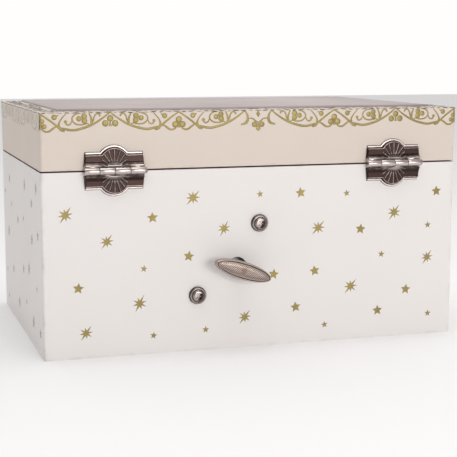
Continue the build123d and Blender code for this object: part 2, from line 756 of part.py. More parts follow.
def mainspring():
    """A flat strip wound in a spiral from the drum's wall towards the arbor."""
    outer = BARREL_OUT_R - BARREL_WALL - 0.1
    inner = ARBOR_R + 0.8
    turns = SPRING_TURNS
    steps = 12 * turns
    far = []
    near = []
    for k in range(steps + 1):
        radius = outer + (inner - outer) * k / steps
        turn = 2 * math.pi * turns * k / steps
        far.append((radius * math.cos(turn), radius * math.sin(turn)))
        near.append(((radius - SPRING_STRIP) * math.cos(turn), (radius - SPRING_STRIP) * math.sin(turn)))
    edges = [Spline(*far), Line(far[-1], near[-1]), Spline(*reversed(near)), Line(near[0], far[0])]
    strip = extrude(make_face(edges), BARREL_H - BARREL_WALL - 0.4)
    return along_y(strip, KEY_X, BED_Y - BARREL_START - BARREL_WALL - 0.2, KEY_Z)


# ---- cylinder ----

def pinned_cylinder():
    x0, x1 = comb_span()
    tube = rod_x(x0, x1, CYL_Y, KEY_Z, CYL_R)
    tube -= rod_x(x0 + 1.2, x1 - 1.2, CYL_Y, KEY_Z, CYL_R - CYL_WALL)
    return tube - rod_x(x0 - 1, x1 + 1, CYL_Y, KEY_Z, CYL_ARBOR_R)


def cylinder_pins():
    """Short steel pins, a few to each tooth of the comb, spread round the cylinder by the golden angle."""
    x0, x1 = comb_span()
    pitch = (x1 - x0) / NOTES
    pins = []
    for note in range(NOTES):
        for k in range(PINS_PER_NOTE):
            turn = 137.5 * (note * PINS_PER_NOTE + k)
            pin = Pos(0, 0, CYL_R + PIN_LONG / 2) * Cylinder(CYL_PIN_R, PIN_LONG)
            pins.append(Pos(x0 + (note + 0.5) * pitch, CYL_Y, KEY_Z) * Rot(turn, 0, 0) * pin)
    return Compound(children=pins)


def cylinder_arbor():
    """The cylinder's shaft, with the twelve-leaf pinion that meshes with the crown wheel."""
    x0 = KEY_X - CYL_START - CYL_L - 4.6
    x1 = KEY_X - CROWN_R + CROWN_FACE / 2 + 0.3
    leaf = gear_blank(TRAIN_MODULE, PINION_TEETH, CROWN_FACE, 90, 0.26)
    leaf = along_x(leaf, KEY_X - CROWN_REACH, CYL_Y, KEY_Z)
    return leaf + rod_x(x0, x1, CYL_Y, KEY_Z, CYL_ARBOR_R)


def cylinder_wheel():
    """The gear at the cylinder's far end that drives the governor."""
    toward = 180 - GOV_LIFT
    wheel = gear_blank(GOV_MODULE, CYL_WHEEL_TEETH, 1.0, toward, 0.28)
    wheel -= Cylinder(CYL_ARBOR_R, 20)
    return along_x(wheel, CYL_WHEEL_X, CYL_Y, KEY_Z)


# ---- governor ----

def governor_arbor():
    """Shaft and ten-leaf pinion in one piece."""
    half_tooth = 180 / GOV_PINION_TEETH
    leaf = gear_blank(GOV_MODULE, GOV_PINION_TEETH, 2.0, -GOV_LIFT + half_tooth, 0.28)
    leaf = along_x(leaf, CYL_WHEEL_X - 0.5, GOV_Y, GOV_Z)
    x0, x1 = governor_ears()
    return leaf + rod_x(x0 - 1.2, x1 + 1.2, GOV_Y, GOV_Z, GOV_SHAFT_R)


def governor_ears():
    """Inner faces of the governor frame's two ears."""
    return CYL_WHEEL_X - 1.0, WORM_X + 4.5


def governor_wheel():
    wheel = gear_blank(WORM_MODULE, WORM_WHEEL_TEETH, 1.4, 180, 0.26)
    wheel -= Cylinder(GOV_SHAFT_R, 20)
    return along_x(wheel, WORM_X - 0.7, GOV_Y, GOV_Z)


def governor_worm():
    """The fan's shaft, with one turn of thread to each tooth of the wheel."""
    front = GOV_Y - 13.0
    lead = math.pi * WORM_MODULE
    core = rod_y(front, IN_Y - 0.5, WORM_X, WORM_Z, GOV_SHAFT_R)
    core += rod_y(GOV_Y - 3.4, GOV_Y + 3.4, WORM_X, WORM_Z, WORM_R - 0.6)
    path = Helix(lead, 3 * lead, WORM_R - 0.35)
    start = Plane(origin=path @ 0, z_dir=path % 0)
    thread = sweep(start * Circle(0.36), path=path, is_frenet=True)
    # the turn below the shaft lies half a lead to each side of the wheel's tooth
    return core + along_y(Rot(0, 0, -90) * thread, WORM_X, GOV_Y + 1.5 * lead, WORM_Z)


def governor_fan():
    """Two thin air-brake blades on a hub."""
    y0 = GOV_Y - 12.5
    hub = rod_y(y0, y0 + FAN_L, WORM_X, WORM_Z, FAN_HUB_R)
    blades = Pos(WORM_X, y0 + FAN_L / 2, WORM_Z) * Box(2 * FAN_R, FAN_L - 1, FAN_BLADE_T)
    return hub + blades - rod_y(y0 - 1, y0 + FAN_L + 1, WORM_X, WORM_Z, GOV_SHAFT_R)


def governor_screw_x():
    x0, x1 = governor_ears()
    return x0 + 2.6, x1 - 2.6


def governor_frame():
    """A bent brass frame: a foot on the bed, two ears for the wheel's arbor and a nose for the worm."""
    x0, x1 = governor_ears()
    nose_y = GOV_Y - 4.6
    low = GOV_Z - 2.2
    high = GOV_Z + GOV_TOP
    left = x0 - GOV_EAR_T
    right = x1 + GOV_EAR_T
    body = block(left, x0, nose_y, BED_Y, low, high) + block(x1, right, nose_y, BED_Y, low, high)
    body += block(left, right, nose_y - GOV_EAR_T, nose_y, GOV_Z + 3.0, high)
    body += block(left, right, BED_Y - GOV_PLATE_T, BED_Y, GOV_Z + GOV_SCREW_UP - 2.0, high)
    body -= rod_x(x0 - 2, x1 + 2, GOV_Y, GOV_Z, 0.7 + SHAFT_FIT)
    body -= rod_y(nose_y - 3, nose_y + 2, WORM_X, WORM_Z, GOV_SHAFT_R + SHAFT_FIT)
    body -= rod_y(BED_Y - 2, BED_Y + 1, WORM_X, WORM_Z, 1.6)
    for x in governor_screw_x():
        body -= rod_y(BED_Y - 2, BED_Y + 1, x, GOV_Z + GOV_SCREW_UP, SCREW_R + SMALL_SCREW_FIT)
    return body


# ---- dancer's drive ----

def bracket_screw_x():
    return KEY_X - 3.2, KEY_X + 5.2


def gear_bracket():
    """An angle bracket under the two drive gears, with a bearing for each shaft."""
    y0 = SPINDLE_Y - BRACKET_HALF_W
    right = KEY_X + BRACKET_RIGHT
    plate = block(SPINDLE_X - BRACKET_HALF_W, right, y0, BED_Y, BRACKET_Z, BRACKET_Z + BRACKET_T)
    plate -= block(SPINDLE_X + 5.5, KEY_X + 20, y0 - 1, CYL_Y - 8, BRACKET_Z - 1, BRACKET_Z + 3)
    plate -= block(SPINDLE_X - 20, SPINDLE_X + 3.4, CYL_Y - 8, BED_Y + 1, BRACKET_Z - 1, BRACKET_Z + 3)
    plate += block(SPINDLE_X + 3.4, right, BED_Y - BRACKET_T, BED_Y, BRACKET_Z, BRACKET_Z + 7.6)
    plate += rod_z(BRACKET_Z - BRACKET_BOSS, BRACKET_Z + 0.2, KEY_X, CYL_Y, 2.6)
    plate -= rod_z(BRACKET_Z - 3, BRACKET_Z + 3, KEY_X, CYL_Y, CYL_ARBOR_R + SHAFT_FIT)
    plate -= rod_z(BRACKET_Z - 3, BRACKET_Z + 3, SPINDLE_X, SPINDLE_Y, SPINDLE_R + SHAFT_FIT)
    for x in bracket_screw_x():
        plate -= rod_y(BED_Y - 3, BED_Y + 1, x, BRACKET_Z + BRACKET_SCREW_UP, SCREW_R + SMALL_SCREW_FIT)
    return plate


def takeoff_shaft():
    """The upright shaft whose pinion meshes with the top of the crown wheel."""
    z0 = KEY_Z + CROWN_REACH - CROWN_FACE
    pinion = gear_blank(TRAIN_MODULE, PINION_TEETH, CROWN_FACE, 90, 0.26)
    shaft = Pos(KEY_X, CYL_Y, z0) * pinion
    return shaft + rod_z(z0, GEAR_Z + DRIVE_FACE + 0.4, KEY_X, CYL_Y, CYL_ARBOR_R)


def drive_angle():
    """Direction from the take-off shaft to the dancer's spindle, in degrees from +X."""
    return math.degrees(math.atan2(SPINDLE_Y - CYL_Y, SPINDLE_X - KEY_X))


def takeoff_gear():
    gear = gear_blank(DRIVE_MODULE, TAKEOFF_TEETH, DRIVE_FACE, drive_angle())
    gear -= Cylinder(CYL_ARBOR_R, 20)
    return Pos(KEY_X, CYL_Y, GEAR_Z) * gear


def spindle_gear():
    half_tooth = 180 / SPINDLE_TEETH
    gear = gear_blank(DRIVE_MODULE, SPINDLE_TEETH, DRIVE_FACE, drive_angle() + 180 + half_tooth)
    for k in range(4):
        gear -= Rot(0, 0, 90 * k + 45) * Pos(7.2, 0, 0) * Cylinder(2.6, 20)
    gear -= Cylinder(SPINDLE_R, 20)
    return Pos(SPINDLE_X, SPINDLE_Y, GEAR_Z) * gear


def spindle_bush():
    """The flanged bush in the deck that steadies the spindle."""
    bush = rod_z(DECK_LOW, DECK_TOP, SPINDLE_X, SPINDLE_Y, SPINDLE_R + 1.5)
    bush += rod_z(DECK_TOP, DECK_TOP + 0.6, SPINDLE_X, SPINDLE_Y, SPINDLE_R + 2.6)
    return bush - rod_z(DECK_LOW - 1, DECK_TOP + 2, SPINDLE_X, SPINDLE_Y, SPINDLE_R + SHAFT_FIT)


def spindle():
    """The dancer's upright shaft, with a collar and a stub that the coil spring sits on."""
    collar = DECK_TOP + 0.65
    shaft = rod_z(BRACKET_Z - 1, collar + 0.1, SPINDLE_X, SPINDLE_Y, SPINDLE_R)
    shaft += rod_z(collar, PIVOT_Z - SPRING_HALF, SPINDLE_X, SPINDLE_Y, 2.4)
    return shaft + rod_z(collar, PIVOT_Z - SPRING_HALF + 0.7, SPINDLE_X, SPINDLE_Y, 1.1)


# ---- dancer ----

def folded(shape):
    """Leans a shape drawn upright above the pivot forwards to the closed-lid pose."""
    pivot = Pos(SPINDLE_X, SPINDLE_Y, PIVOT_Z)
    return pivot * Rot(DANCER_LEAN, 0, 0) * shape


def dancer_spring():
    """The coil spring under the dancer's foot, as the bent tube that the coil fills."""
    bend_r = SPRING_HALF / math.tan(math.radians(DANCER_LEAN / 2))
    section = Circle(DANCER_SPRING_R) - Circle(DANCER_SPRING_R - DANCER_SPRING_WALL)
    tube = revolve(section, Axis((0, -bend_r, 0), (1, 0, 0)), DANCER_LEAN)
    return Pos(SPINDLE_X, SPINDLE_Y, PIVOT_Z - SPRING_HALF) * tube


def dancer_socket():
    """The cup that grips the spring's upper end and the dancer's toe."""
    cup = rod_z(SPRING_HALF + 0.02, SPRING_HALF + SOCKET_H, 0, 0, 2.2)
    return folded(cup - rod_z(SPRING_HALF + 1.0, SPRING_HALF + SOCKET_H + 1, 0, 0, 0.9))


def dancer_figure():
    """A small moulded dancer on one toe, her other foot at the knee and her arms raised in an oval."""
    toe = SPRING_HALF + 1.1
    unit = DANCER_H / DRAWN_DANCER_H
    hip = toe + 16.4 * unit
    chest = toe + 23.6 * unit
    head = toe + 29.0 * unit
    hands = toe + 34.4 * unit
    body = limb((0, 0, toe + 0.8), (0, 0, toe + 8.4 * unit), 0.8, 1.15)
    body += limb((0, 0, toe + 8.4 * unit), (0.3, 0, hip), 1.15, 1.75)
    body += limb((1.2, 0, hip), (6.4, -0.8, hip - 5.4 * unit), 1.6, 1.1)
    body += limb((6.4, -0.8, hip - 5.4 * unit), (1.4, -1.2, hip - 9.2 * unit), 1.1, 0.6)
    body += limb((0.2, 0, hip), (0, 0, hip + 3.4 * unit), 2.0, 1.6)
    body += limb((0, 0, hip + 3.4 * unit), (0, 0, chest), 1.6, 2.1)
    body += limb((0, 0, chest), (0, 0, head), 0.85, 0.8)
    body += Pos(0, 0, head) * Sphere(2.3)
    body += Pos(0, 0.9, head + 2.0 * unit) * Sphere(1.2)
    for side in (-1, 1):
        elbow = (side * 5.0, -0.4, head + 0.4 * unit)
        body += limb((side * 2.0, 0, chest + 0.6), elbow, 0.85, 0.65)
        body += limb(elbow, (side * 1.6, -0.6, hands), 0.65, 0.5)
    return folded(body)


def dancer_skirt():
    """The tutu, as the shallow cone that its net fills."""
    unit = DANCER_H / DRAWN_DANCER_H
    waist = SPRING_HALF + 1.1 + 18.2 * unit
    rim = waist - SKIRT_DROP
    outline = Polyline((SKIRT_IN_R, waist), (SKIRT_R, rim), (SKIRT_R, rim - SKIRT_RIM_T),
                       (SKIRT_IN_R, waist - SKIRT_T), close=True)
    cone = revolve(Plane.XZ * make_face(outline), Axis.Z, 360)
    return folded(cone)


def stop_rod():
    """The rod that the lid holds down; when the lid opens it rises and lets the fan turn."""
    high = LID_CEIL - LID_LINING_T - STOP_BELOW_LINING
    low = WORM_Z - 6
    rod = rod_z(low, high, STOP_X, STOP_Y, STOP_R)
    rod = fillet(rod.faces().sort_by(Axis.Z)[-1].edges(), STOP_R * 0.8)
    rod += rod_z(low, low + STOP_R, STOP_X, STOP_Y, 2 * STOP_R)
    return rod


NODES = {
    "front_wall": front_wall(),
    "back_wall": back_wall(),
    "left_wall": side_wall(1),
    "right_wall": side_wall(-1),
    "base_board": base_board(),
    "floor_lining": floor_lining(),
    "wall_lining": wall_lining(),
    "long_partition": long_partition(),
    "bay_left_partition": bay_partition(1),
    "bay_right_partition": bay_partition(-1),
    "front_left_partition": front_partition(1),
    "front_right_partition": front_partition(-1),
    "deck": deck(),
    "ring_bed": ring_bed(),
    "ring_rolls": ring_rolls(),
    "lid_top": lid_top(),
    "lid_front_wall": lid_long_wall(-1),
    "lid_back_wall": lid_long_wall(1),
    "lid_left_wall": lid_side_wall(1),
    "lid_right_wall": lid_side_wall(-1),
    "lid_picture": lid_picture(),
    "lid_lining": lid_lining(),
    "mirror": mirror(),
    "lid_hinge_leaf_left": hinge_leaf(1, 1),
    "lid_hinge_leaf_right": hinge_leaf(-1, 1),
    "body_hinge_leaf_left": hinge_leaf(1, -1),
    "body_hinge_leaf_right": hinge_leaf(-1, -1),
    "hinge_pins": hinge_pins(),
    "bedplate": bedplate(),
    "barrel_bridge": barrel_bridge(),
    "comb": comb(),
    "bed_screws": bed_screws(),
    "wrap_spring": wrap_spring(),
    "movement_screws": movement_screws(),
    "cup_washers": cup_washers(),
    "winding_arbor": winding_arbor(),
    "winding_key": winding_key(),
    "spring_barrel": spring_barrel(),
    "crown_wheel": crown_wheel(),
    "mainspring": mainspring(),
    "pinned_cylinder": pinned_cylinder(),
    "cylinder_pins": cylinder_pins(),
    "cylinder_arbor": cylinder_arbor(),
    "cylinder_wheel": cylinder_wheel(),
    "governor_frame": governor_frame(),
    "governor_arbor": governor_arbor(),
    "governor_wheel": governor_wheel(),
    "governor_worm": governor_worm(),
    "governor_fan": governor_fan(),
    "gear_bracket": gear_bracket(),
    "takeoff_shaft": takeoff_shaft(),
    "takeoff_gear": takeoff_gear(),
    "spindle_gear": spindle_gear(),
    "spindle_bush": spindle_bush(),
    "spindle": spindle(),
    "dancer_spring": dancer_spring(),
    "dancer_socket": dancer_socket(),
    "dancer_figure": dancer_figure(),
    "dancer_skirt": dancer_skirt(),
    "stop_rod": stop_rod(),
}

os.makedirs("parts", exist_ok=True)
for name, shape in NODES.items():
    export_step(shape, f"parts/{name}.step")
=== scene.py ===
import json
import math

import bmesh
import bpy
from mathutils import Matrix, Vector, noise

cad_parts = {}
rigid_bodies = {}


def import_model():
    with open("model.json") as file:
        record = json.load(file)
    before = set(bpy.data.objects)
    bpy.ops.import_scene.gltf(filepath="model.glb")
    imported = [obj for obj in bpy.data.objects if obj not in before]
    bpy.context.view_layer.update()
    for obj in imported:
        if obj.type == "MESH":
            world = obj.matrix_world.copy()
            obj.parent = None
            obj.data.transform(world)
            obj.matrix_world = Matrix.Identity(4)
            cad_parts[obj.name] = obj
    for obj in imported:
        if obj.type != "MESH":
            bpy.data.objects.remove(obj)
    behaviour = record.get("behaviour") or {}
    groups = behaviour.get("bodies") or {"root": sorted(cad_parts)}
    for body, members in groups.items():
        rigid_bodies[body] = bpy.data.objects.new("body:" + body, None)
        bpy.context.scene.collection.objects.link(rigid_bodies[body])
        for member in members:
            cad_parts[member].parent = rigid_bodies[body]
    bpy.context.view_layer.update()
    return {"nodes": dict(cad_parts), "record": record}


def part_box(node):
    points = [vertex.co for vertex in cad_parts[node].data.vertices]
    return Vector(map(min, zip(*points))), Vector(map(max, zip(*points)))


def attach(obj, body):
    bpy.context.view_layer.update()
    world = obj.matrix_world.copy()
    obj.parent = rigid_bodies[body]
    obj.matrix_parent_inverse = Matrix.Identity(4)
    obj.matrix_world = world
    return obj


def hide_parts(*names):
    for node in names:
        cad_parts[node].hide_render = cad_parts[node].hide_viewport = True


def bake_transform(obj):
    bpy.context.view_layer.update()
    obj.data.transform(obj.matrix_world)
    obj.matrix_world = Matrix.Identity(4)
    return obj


for left_over in list(bpy.data.objects):
    bpy.data.objects.remove(left_over)

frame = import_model()

# Meshes are drawn in millimetres and made metres when a piece is finished.
MM = 0.001
BOX_X, BOX_Y, BOX_Z = 95.0, 64.0, 105.0
BODY_TOP = 80.0
LID_BOTTOM = 80.4
# the key's middle on the back wall, and its plate's turn in degrees
KEY_X, KEY_Z = 9.6, 36.0
KEY_TURN = -19
# the middles of the movement's screws, in metres, for their finish
SCREWS = ((-0.0007, 0.0553), (0.0277, 0.0246))
# the lining that is turned over the rims
WINE = (0.085, 0.022, 0.03)
PIVOT = Vector((0.0, 21.349, 68.0))
LEAN = math.radians(56)


# ---- materials ----

class Level:
    """Something that varies over a surface. Arithmetic on it adds the nodes that work it out."""

    def __init__(self, nodes, socket):
        self.nodes = nodes
        self.socket = socket

    def work(self, operation, *values):
        return self.nodes.node("ShaderNodeMath", {"operation": operation}, values)

    def __add__(self, other):
        return self.work("ADD", self, other)

    def __radd__(self, other):
        return self.work("ADD", other, self)

    def __sub__(self, other):
        return self.work("SUBTRACT", self, other)

    def __rsub__(self, other):
        return self.work("SUBTRACT", other, self)

    def __mul__(self, other):
        return self.work("MULTIPLY", self, other)

    def __rmul__(self, other):
        return self.work("MULTIPLY", other, self)

    def __truediv__(self, other):
        return self.work("DIVIDE", self, other)

    def __pow__(self, other):
        return self.work("POWER", self, other)

    def __abs__(self):
        return self.work("ABSOLUTE", self)


class Nodes:
    """The nodes of a material or of the room, added one at a time."""

    def __init__(self, tree):
        self.tree = tree

    def put(self, socket, value):
        if isinstance(value, Level):
            self.tree.links.new(value.socket, socket)
        elif socket.type == "RGBA":
            socket.default_value = (*value[:3], 1)
        else:
            socket.default_value = value

    def node(self, kind, settings=None, values=(), out=0):
        made = self.tree.nodes.new(kind)
        for label, setting in (settings or {}).items():
            if label == "stops":
                ramp = made.color_ramp
                ramp.elements[0].position = setting[0][0]
                ramp.elements[1].position = setting[-1][0]
                for place, colour in setting[1:-1]:
                    ramp.elements.new(place)
                for element, (place, colour) in zip(ramp.elements, setting):
                    element.color = (*colour, 1)
            else:
                setattr(made, label, setting)
        pairs = values.items() if isinstance(values, dict) else enumerate(values)
        for label, value in pairs:
            self.put(made.inputs[label], value)
        return Level(self, made.outputs[out])

    def axes(self, spot):
        first = self.node("ShaderNodeSeparateXYZ", values=[spot])
        return [Level(self, socket) for socket in first.socket.node.outputs]

    def step(self, level, low, high):
        """0 at low, 1 at high, smooth between and level beyond. low may be the larger."""
        values = {0: level, 1: low, 2: high, 3: 0.0, 4: 1.0}
        return self.node("ShaderNodeMapRange", {"interpolation_type": "SMOOTHSTEP"}, values)


class Finish(Nodes):
    """A material being made. Keywords are numbers set straight on the shader."""

    def __init__(self, name, **numbers):
        self.material = bpy.data.materials.new(name)
        self.material.use_nodes = True
        super().__init__(self.material.node_tree)
        self.shader = self.tree.nodes["Principled BSDF"]
        self.feed(**numbers)

    def spot(self, centre=(0, 0, 0), turn=(0, 0, 0), stretch=(1, 1, 1)):
        """The place on the object, measured from a centre, turned and stretched."""
        place = self.node("ShaderNodeTexCoord", out=3)
        values = {"Vector": place, "Location": centre, "Rotation": turn, "Scale": stretch}
        return self.node("ShaderNodeMapping", {"vector_type": "TEXTURE"}, values)

    def mottle(self, spot, size, detail=3.0, rough=0.5):
        """Soft random patches about size metres across, from 0 to 1."""
        values = {"Vector": spot, "Scale": 1 / size, "Detail": detail, "Roughness": rough}
        return self.node("ShaderNodeTexNoise", values=values)

    def mixed(self, share, first, second):
        values = {0: share, 6: first, 7: second}
        return self.node("ShaderNodeMix", {"data_type": "RGBA"}, values, out=2)

    def bump(self, height, depth):
        """height runs from 0 to 1 and stands for depth metres."""
        values = {"Strength": 1.0, "Distance": depth, "Height": height}
        self.feed(Normal=self.node("ShaderNodeBump", values=values))

    def feed(self, **sockets):
        for label, value in sockets.items():
            self.put(self.shader.inputs[label.replace("_", " ")], value)


def covered_board(name, light, deep, low_z, high_z, turned):
    """Satin printed paper glued over board, with a wine lining turned over the meeting rim.
    turned is the two heights between which paper gives way to lining."""
    f = Finish(name, Specular_IOR_Level=0.45)
    spot = f.spot()
    x, y, z = f.axes(spot)
    cloud = f.mottle(spot, 0.045, 2.0)
    fibre = f.mottle(f.spot(stretch=(2.2, 2.2, 0.8)), 0.0009, 3.0)
    speck = f.mottle(spot, 0.0003, 2.0)
    near_x = f.step(abs(x), 0.0925, 0.0951)
    near_y = f.step(abs(y), 0.0615, 0.0641)
    corner = near_x * near_y
    rim = f.step(z, high_z - 0.0012, high_z) + f.step(low_z - z, -0.0016, 0.0)
    wear = (corner + rim * 0.7) * f.step(f.mottle(spot, 0.006, 4.0), 0.42, 0.72)
    tone = f.mixed(cloud * 0.55 + fibre * 0.25, light, deep)
    tone = f.mixed(wear * 0.55, tone, [c * 0.72 for c in deep])
    tone = f.mixed(f.step(z, *turned), tone, WINE)
    f.feed(Base_Color=tone, Roughness=0.36 + cloud * 0.1 + speck * 0.08 + wear * 0.2)
    f.bump(fibre * 0.7 + speck * 0.3, 0.00002)
    return f.material


def picture_paper():
    """The dusky mauve panel on the lid, softly clouded and a little glossier than the border."""
    f = Finish("picture_paper", Specular_IOR_Level=0.5)
    spot = f.spot()
    x, y, z = f.axes(spot)
    cloud = f.mottle(spot, 0.06, 4.0, 0.55)
    wash = f.mottle(f.spot(stretch=(1.6, 0.7, 1)), 0.02, 5.0, 0.6)
    edge = f.step(abs(x), 0.055, 0.086) + f.step(abs(y), 0.03, 0.055)
    tone = f.node("ShaderNodeValToRGB", {"stops": [
        (0.2, (0.24, 0.185, 0.18)), (0.45, (0.36, 0.285, 0.27)),
        (0.62, (0.46, 0.38, 0.36)), (0.8, (0.56, 0.49, 0.47))]}, [cloud * 0.75 + wash * 0.3])
    tone = f.mixed(edge * 0.3, tone, (0.27, 0.21, 0.205))
    fibre = f.mottle(spot, 0.0008, 3.0)
    f.feed(Base_Color=tone, Roughness=0.34 + wash * 0.12)
    f.bump(fibre, 0.00002)
    return f.material


def foil(name, bright, dull, roughness, metallic=0.85):
    """Hot-stamped foil: metal that is slightly crinkled and rubbed thin in places."""
    f = Finish(name, Metallic=metallic)
    spot = f.spot()
    crinkle = f.mottle(spot, 0.0012, 4.0, 0.6)
    rub = f.step(f.mottle(spot, 0.007, 4.0), 0.45, 0.75)
    f.feed(Base_Color=f.mixed(rub * 0.6 + crinkle * 0.3, bright, dull),
           Roughness=roughness + crinkle * 0.16)
    f.bump(crinkle, 0.00004)
    return f.material


def plated(name, bright, dark, roughness, patina_size, grain=(1, 1, 1), depth=0.00001):
    """Plated or plain metal with fine tool lines and a patina that gathers in patches."""
    f = Finish(name, Metallic=1.0)
    spot = f.spot()
    lines = f.mottle(f.spot(stretch=grain), 0.0005, 3.0, 0.6)
    patina = f.step(f.mottle(spot, patina_size, 5.0, 0.6), 0.35, 0.7)
    f.feed(Base_Color=f.mixed(patina * 0.65 + lines * 0.2, bright, dark),
           Roughness=roughness + patina * 0.14 + lines * 0.1)
    f.bump(lines, depth)
    return f.material


def hinge_plate():
    """Dark antique nickel: rubbed bright on the raised parts, brown-black patina in the recesses, with
    painted reflections and highlights carried in from the leaf.
    """
    f = Finish("antique_nickel", Metallic=1.0)
    spot = f.spot()
    proud = f.node("ShaderNodeAttribute", {"attribute_name": "proud"}, out=2)
    stain = f.mottle(spot, 0.0022, 5.0, 0.62)
    lines = f.mottle(f.spot(stretch=(4, 1, 0.6)), 0.0004, 3.0)
    # the leaf's attribute lightens the colour: rubbed wear, with painted reflection and painted highlight
    share = f.step(proud * 0.85 + stain * 0.5 - 0.27, 0.05, 0.85)
    tone = f.mixed(share, (0.042, 0.026, 0.023), (0.60, 0.52, 0.49))
    f.feed(Base_Color=tone, Roughness=0.2 + stain * 0.2)
    f.bump(lines * 0.5 + stain * 0.5, 0.00003)
    return f.material


def key_plate():
    """Satin nickel thumb plate, engraved with fine slanting lines inside the plain rim."""
    f = Finish("satin_nickel", Metallic=1.0)
    spot = f.spot(centre=(0.0096, 0.072, 0.036), turn=(0, math.radians(KEY_TURN), 0))
    x, y, z = f.axes(spot)
    # the oval is squeezed to a circle to measure how far from its middle a place is
    squeeze = 0.21
    across = ((x * squeeze) * (x * squeeze) + z * z) ** 0.5
    # the engraved lines are 0.85 mm apart, and this is how far their wave turns in a metre
    wave = 6283.0 / 0.85
    lines = f.node("ShaderNodeMath", {"operation": "SINE"}, [(x + z * 0.6) * wave])
    inside = 1 - f.step(across, 0.0023, 0.0026)
    boss = 1 - f.step((x * x + z * z) ** 0.5, 0.0008, 0.0018)
    cut = f.step(lines, -0.5, 0.7) * inside
    hollow = f.node("ShaderNodeAttribute", {"attribute_name": "hollow"}, out=2)
    stain = f.mottle(spot, 0.003, 4.0, 0.6)
    tone = f.mixed(cut * 0.75 + stain * 0.3, (0.47, 0.395, 0.35), (0.15, 0.105, 0.09))
    tone = f.mixed(boss * 0.6, tone, (0.19, 0.105, 0.075))
    # painted shade: the stem under the plate, the plate's back edge and the groove inside the rim are
    # painted near-black and not metal
    tone = f.mixed(hollow, tone, (0.012, 0.008, 0.007))
    f.feed(Base_Color=tone, Roughness=0.26 + stain * 0.15 + cut * 0.12 + hollow * 0.5,
           Metallic=1 - hollow)
    f.bump(1 - cut, 0.00008)
    return f.material


def screw_plate():
    """Nickelled screws in cup washers: darker in two rings round each screw, with painted shade on one side
    of each head and a painted highlight on the other.
    """
    f = Finish("screw_nickel", Metallic=1.0)
    spot = f.spot()
    x, y, z = f.axes(spot)
    upper, lower = [(x - sx, z - sz) for sx, sz in SCREWS]
    # each place is measured from the screw it belongs to
    near_lower = f.step(lower[0] * lower[0] + lower[1] * lower[1], 0.0001, 0.00009)
    dx = upper[0] + (lower[0] - upper[0]) * near_lower
    dz = upper[1] + (lower[1] - upper[1]) * near_lower
    out = (dx * dx + dz * dz) ** 0.5
    rings = f.step(out, 0.0034, 0.0037) + f.step(abs(out - 0.0028), 0.0005, 0.0001) * 0.8
    aside = (dx * -0.85 - dz * 0.5) / (out + 0.0001)
    # painted shade on one side of each head, and a painted highlight on the other side, as if lit from one
    # side
    shade = f.step(aside, 0.0, 0.7) * f.step(abs(out - 0.0015), 0.0009, 0.0003)
    lit = f.step(aside * -1, 0.3, 0.9) * f.step(abs(out - 0.0009), 0.0009, 0.0003)
    stain = f.mottle(spot, 0.0016, 4.0, 0.6)
    share = f.step(rings * 0.6 + stain * 0.5 + shade * 0.9 - lit * 0.5 + 0.05, 0.0, 1.0)
    tone = f.mixed(share, (0.50, 0.435, 0.415), (0.05, 0.032, 0.028))
    f.feed(Base_Color=tone, Roughness=0.2 + stain * 0.16)
    f.bump(stain, 0.00003)
    return f.material


def velvet(name, pile, shade, tip):
    """Short flock: a deep colour that goes light where the pile is brushed the other way."""
    f = Finish(name, Roughness=0.95, Specular_IOR_Level=0.15, Sheen_Weight=0.55,
               Sheen_Roughness=0.35, Sheen_Tint=tip)
    spot = f.spot()
    brushed = f.mottle(spot, 0.022, 3.0, 0.55)
    tuft = f.mottle(spot, 0.0005, 2.0)
    hair = f.mottle(spot, 0.00022, 2.0)
    share = f.step(brushed, 0.35, 0.68)
    tone = f.mixed(share * 0.55 + tuft * 0.45, shade, pile)
    f.feed(Base_Color=tone)
    f.bump(tuft * 0.6 + hair * 0.4, 0.00012)
    return f.material


def satin_cloth(name, light, deep):
    """Smooth satin: long floats of thread catch the light across the weave."""
    f = Finish(name, Specular_IOR_Level=0.5, Sheen_Weight=0.3, Sheen_Roughness=0.3)
    spot = f.spot()
    thread = f.mottle(f.spot(stretch=(9, 0.7, 1)), 0.0004, 2.0)
    weft = f.mottle(f.spot(stretch=(0.7, 9, 1)), 0.0004, 2.0)
    slub = f.mottle(spot, 0.012, 3.0)
    tone = f.mixed(thread * 0.4 + weft * 0.2 + slub * 0.35, light, deep)
    f.feed(Base_Color=tone, Roughness=0.28 + weft * 0.18 + slub * 0.08)
    f.bump(thread * 0.6 + weft * 0.4, 0.00003)
    return f.material


def tulle():
    """Fine net: threads round small cells that let about half the light through."""
    f = Finish("tulle", Base_Color=(0.88, 0.5, 0.58), Roughness=0.7, Sheen_Weight=0.5)
    spot = f.spot()
    cell = f.node("ShaderNodeTexVoronoi", {"feature": "DISTANCE_TO_EDGE"},
                  {"Vector": spot, "Scale": 1800.0, "Randomness": 0.35})
    thread = 1 - f.step(cell, 0.06, 0.2)
    drift = f.mottle(spot, 0.003, 3.0)
    f.feed(Base_Color=f.mixed(drift, (0.93, 0.60, 0.66), (0.80, 0.40, 0.50)),
           Alpha=0.45 + thread * 0.5)
    f.material.use_backface_culling = False
    return f.material


def looking_glass():
    """Silvered glass with a faint haze in places."""
    f = Finish("looking_glass", Metallic=1.0, Base_Color=(0.9, 0.91, 0.91))
    spot = f.spot()
    haze = f.step(f.mottle(spot, 0.03, 4.0, 0.6), 0.5, 0.9)
    silver = f.mottle(spot, 0.01, 2.0)
    f.feed(Base_Color=f.mixed(silver, (0.92, 0.93, 0.93), (0.88, 0.90, 0.89)),
           Roughness=0.015 + haze * 0.05)
    return f.material


def moulded(name, light, deep, roughness, coat=0.0):
    """Moulded plastic and paint, also foil print painted dark: even, with a faint flow pattern and a fine
    skin.
    """
    f = Finish(name, Coat_Weight=coat, Coat_Roughness=0.15)
    spot = f.spot()
    flow = f.mottle(f.spot(stretch=(1, 1, 3)), 0.006, 3.0)
    skin = f.mottle(spot, 0.0003, 2.0)
    f.feed(Base_Color=f.mixed(flow * 0.6, light, deep), Roughness=roughness + flow * 0.08)
    f.bump(skin, 0.000008)
    return f.material


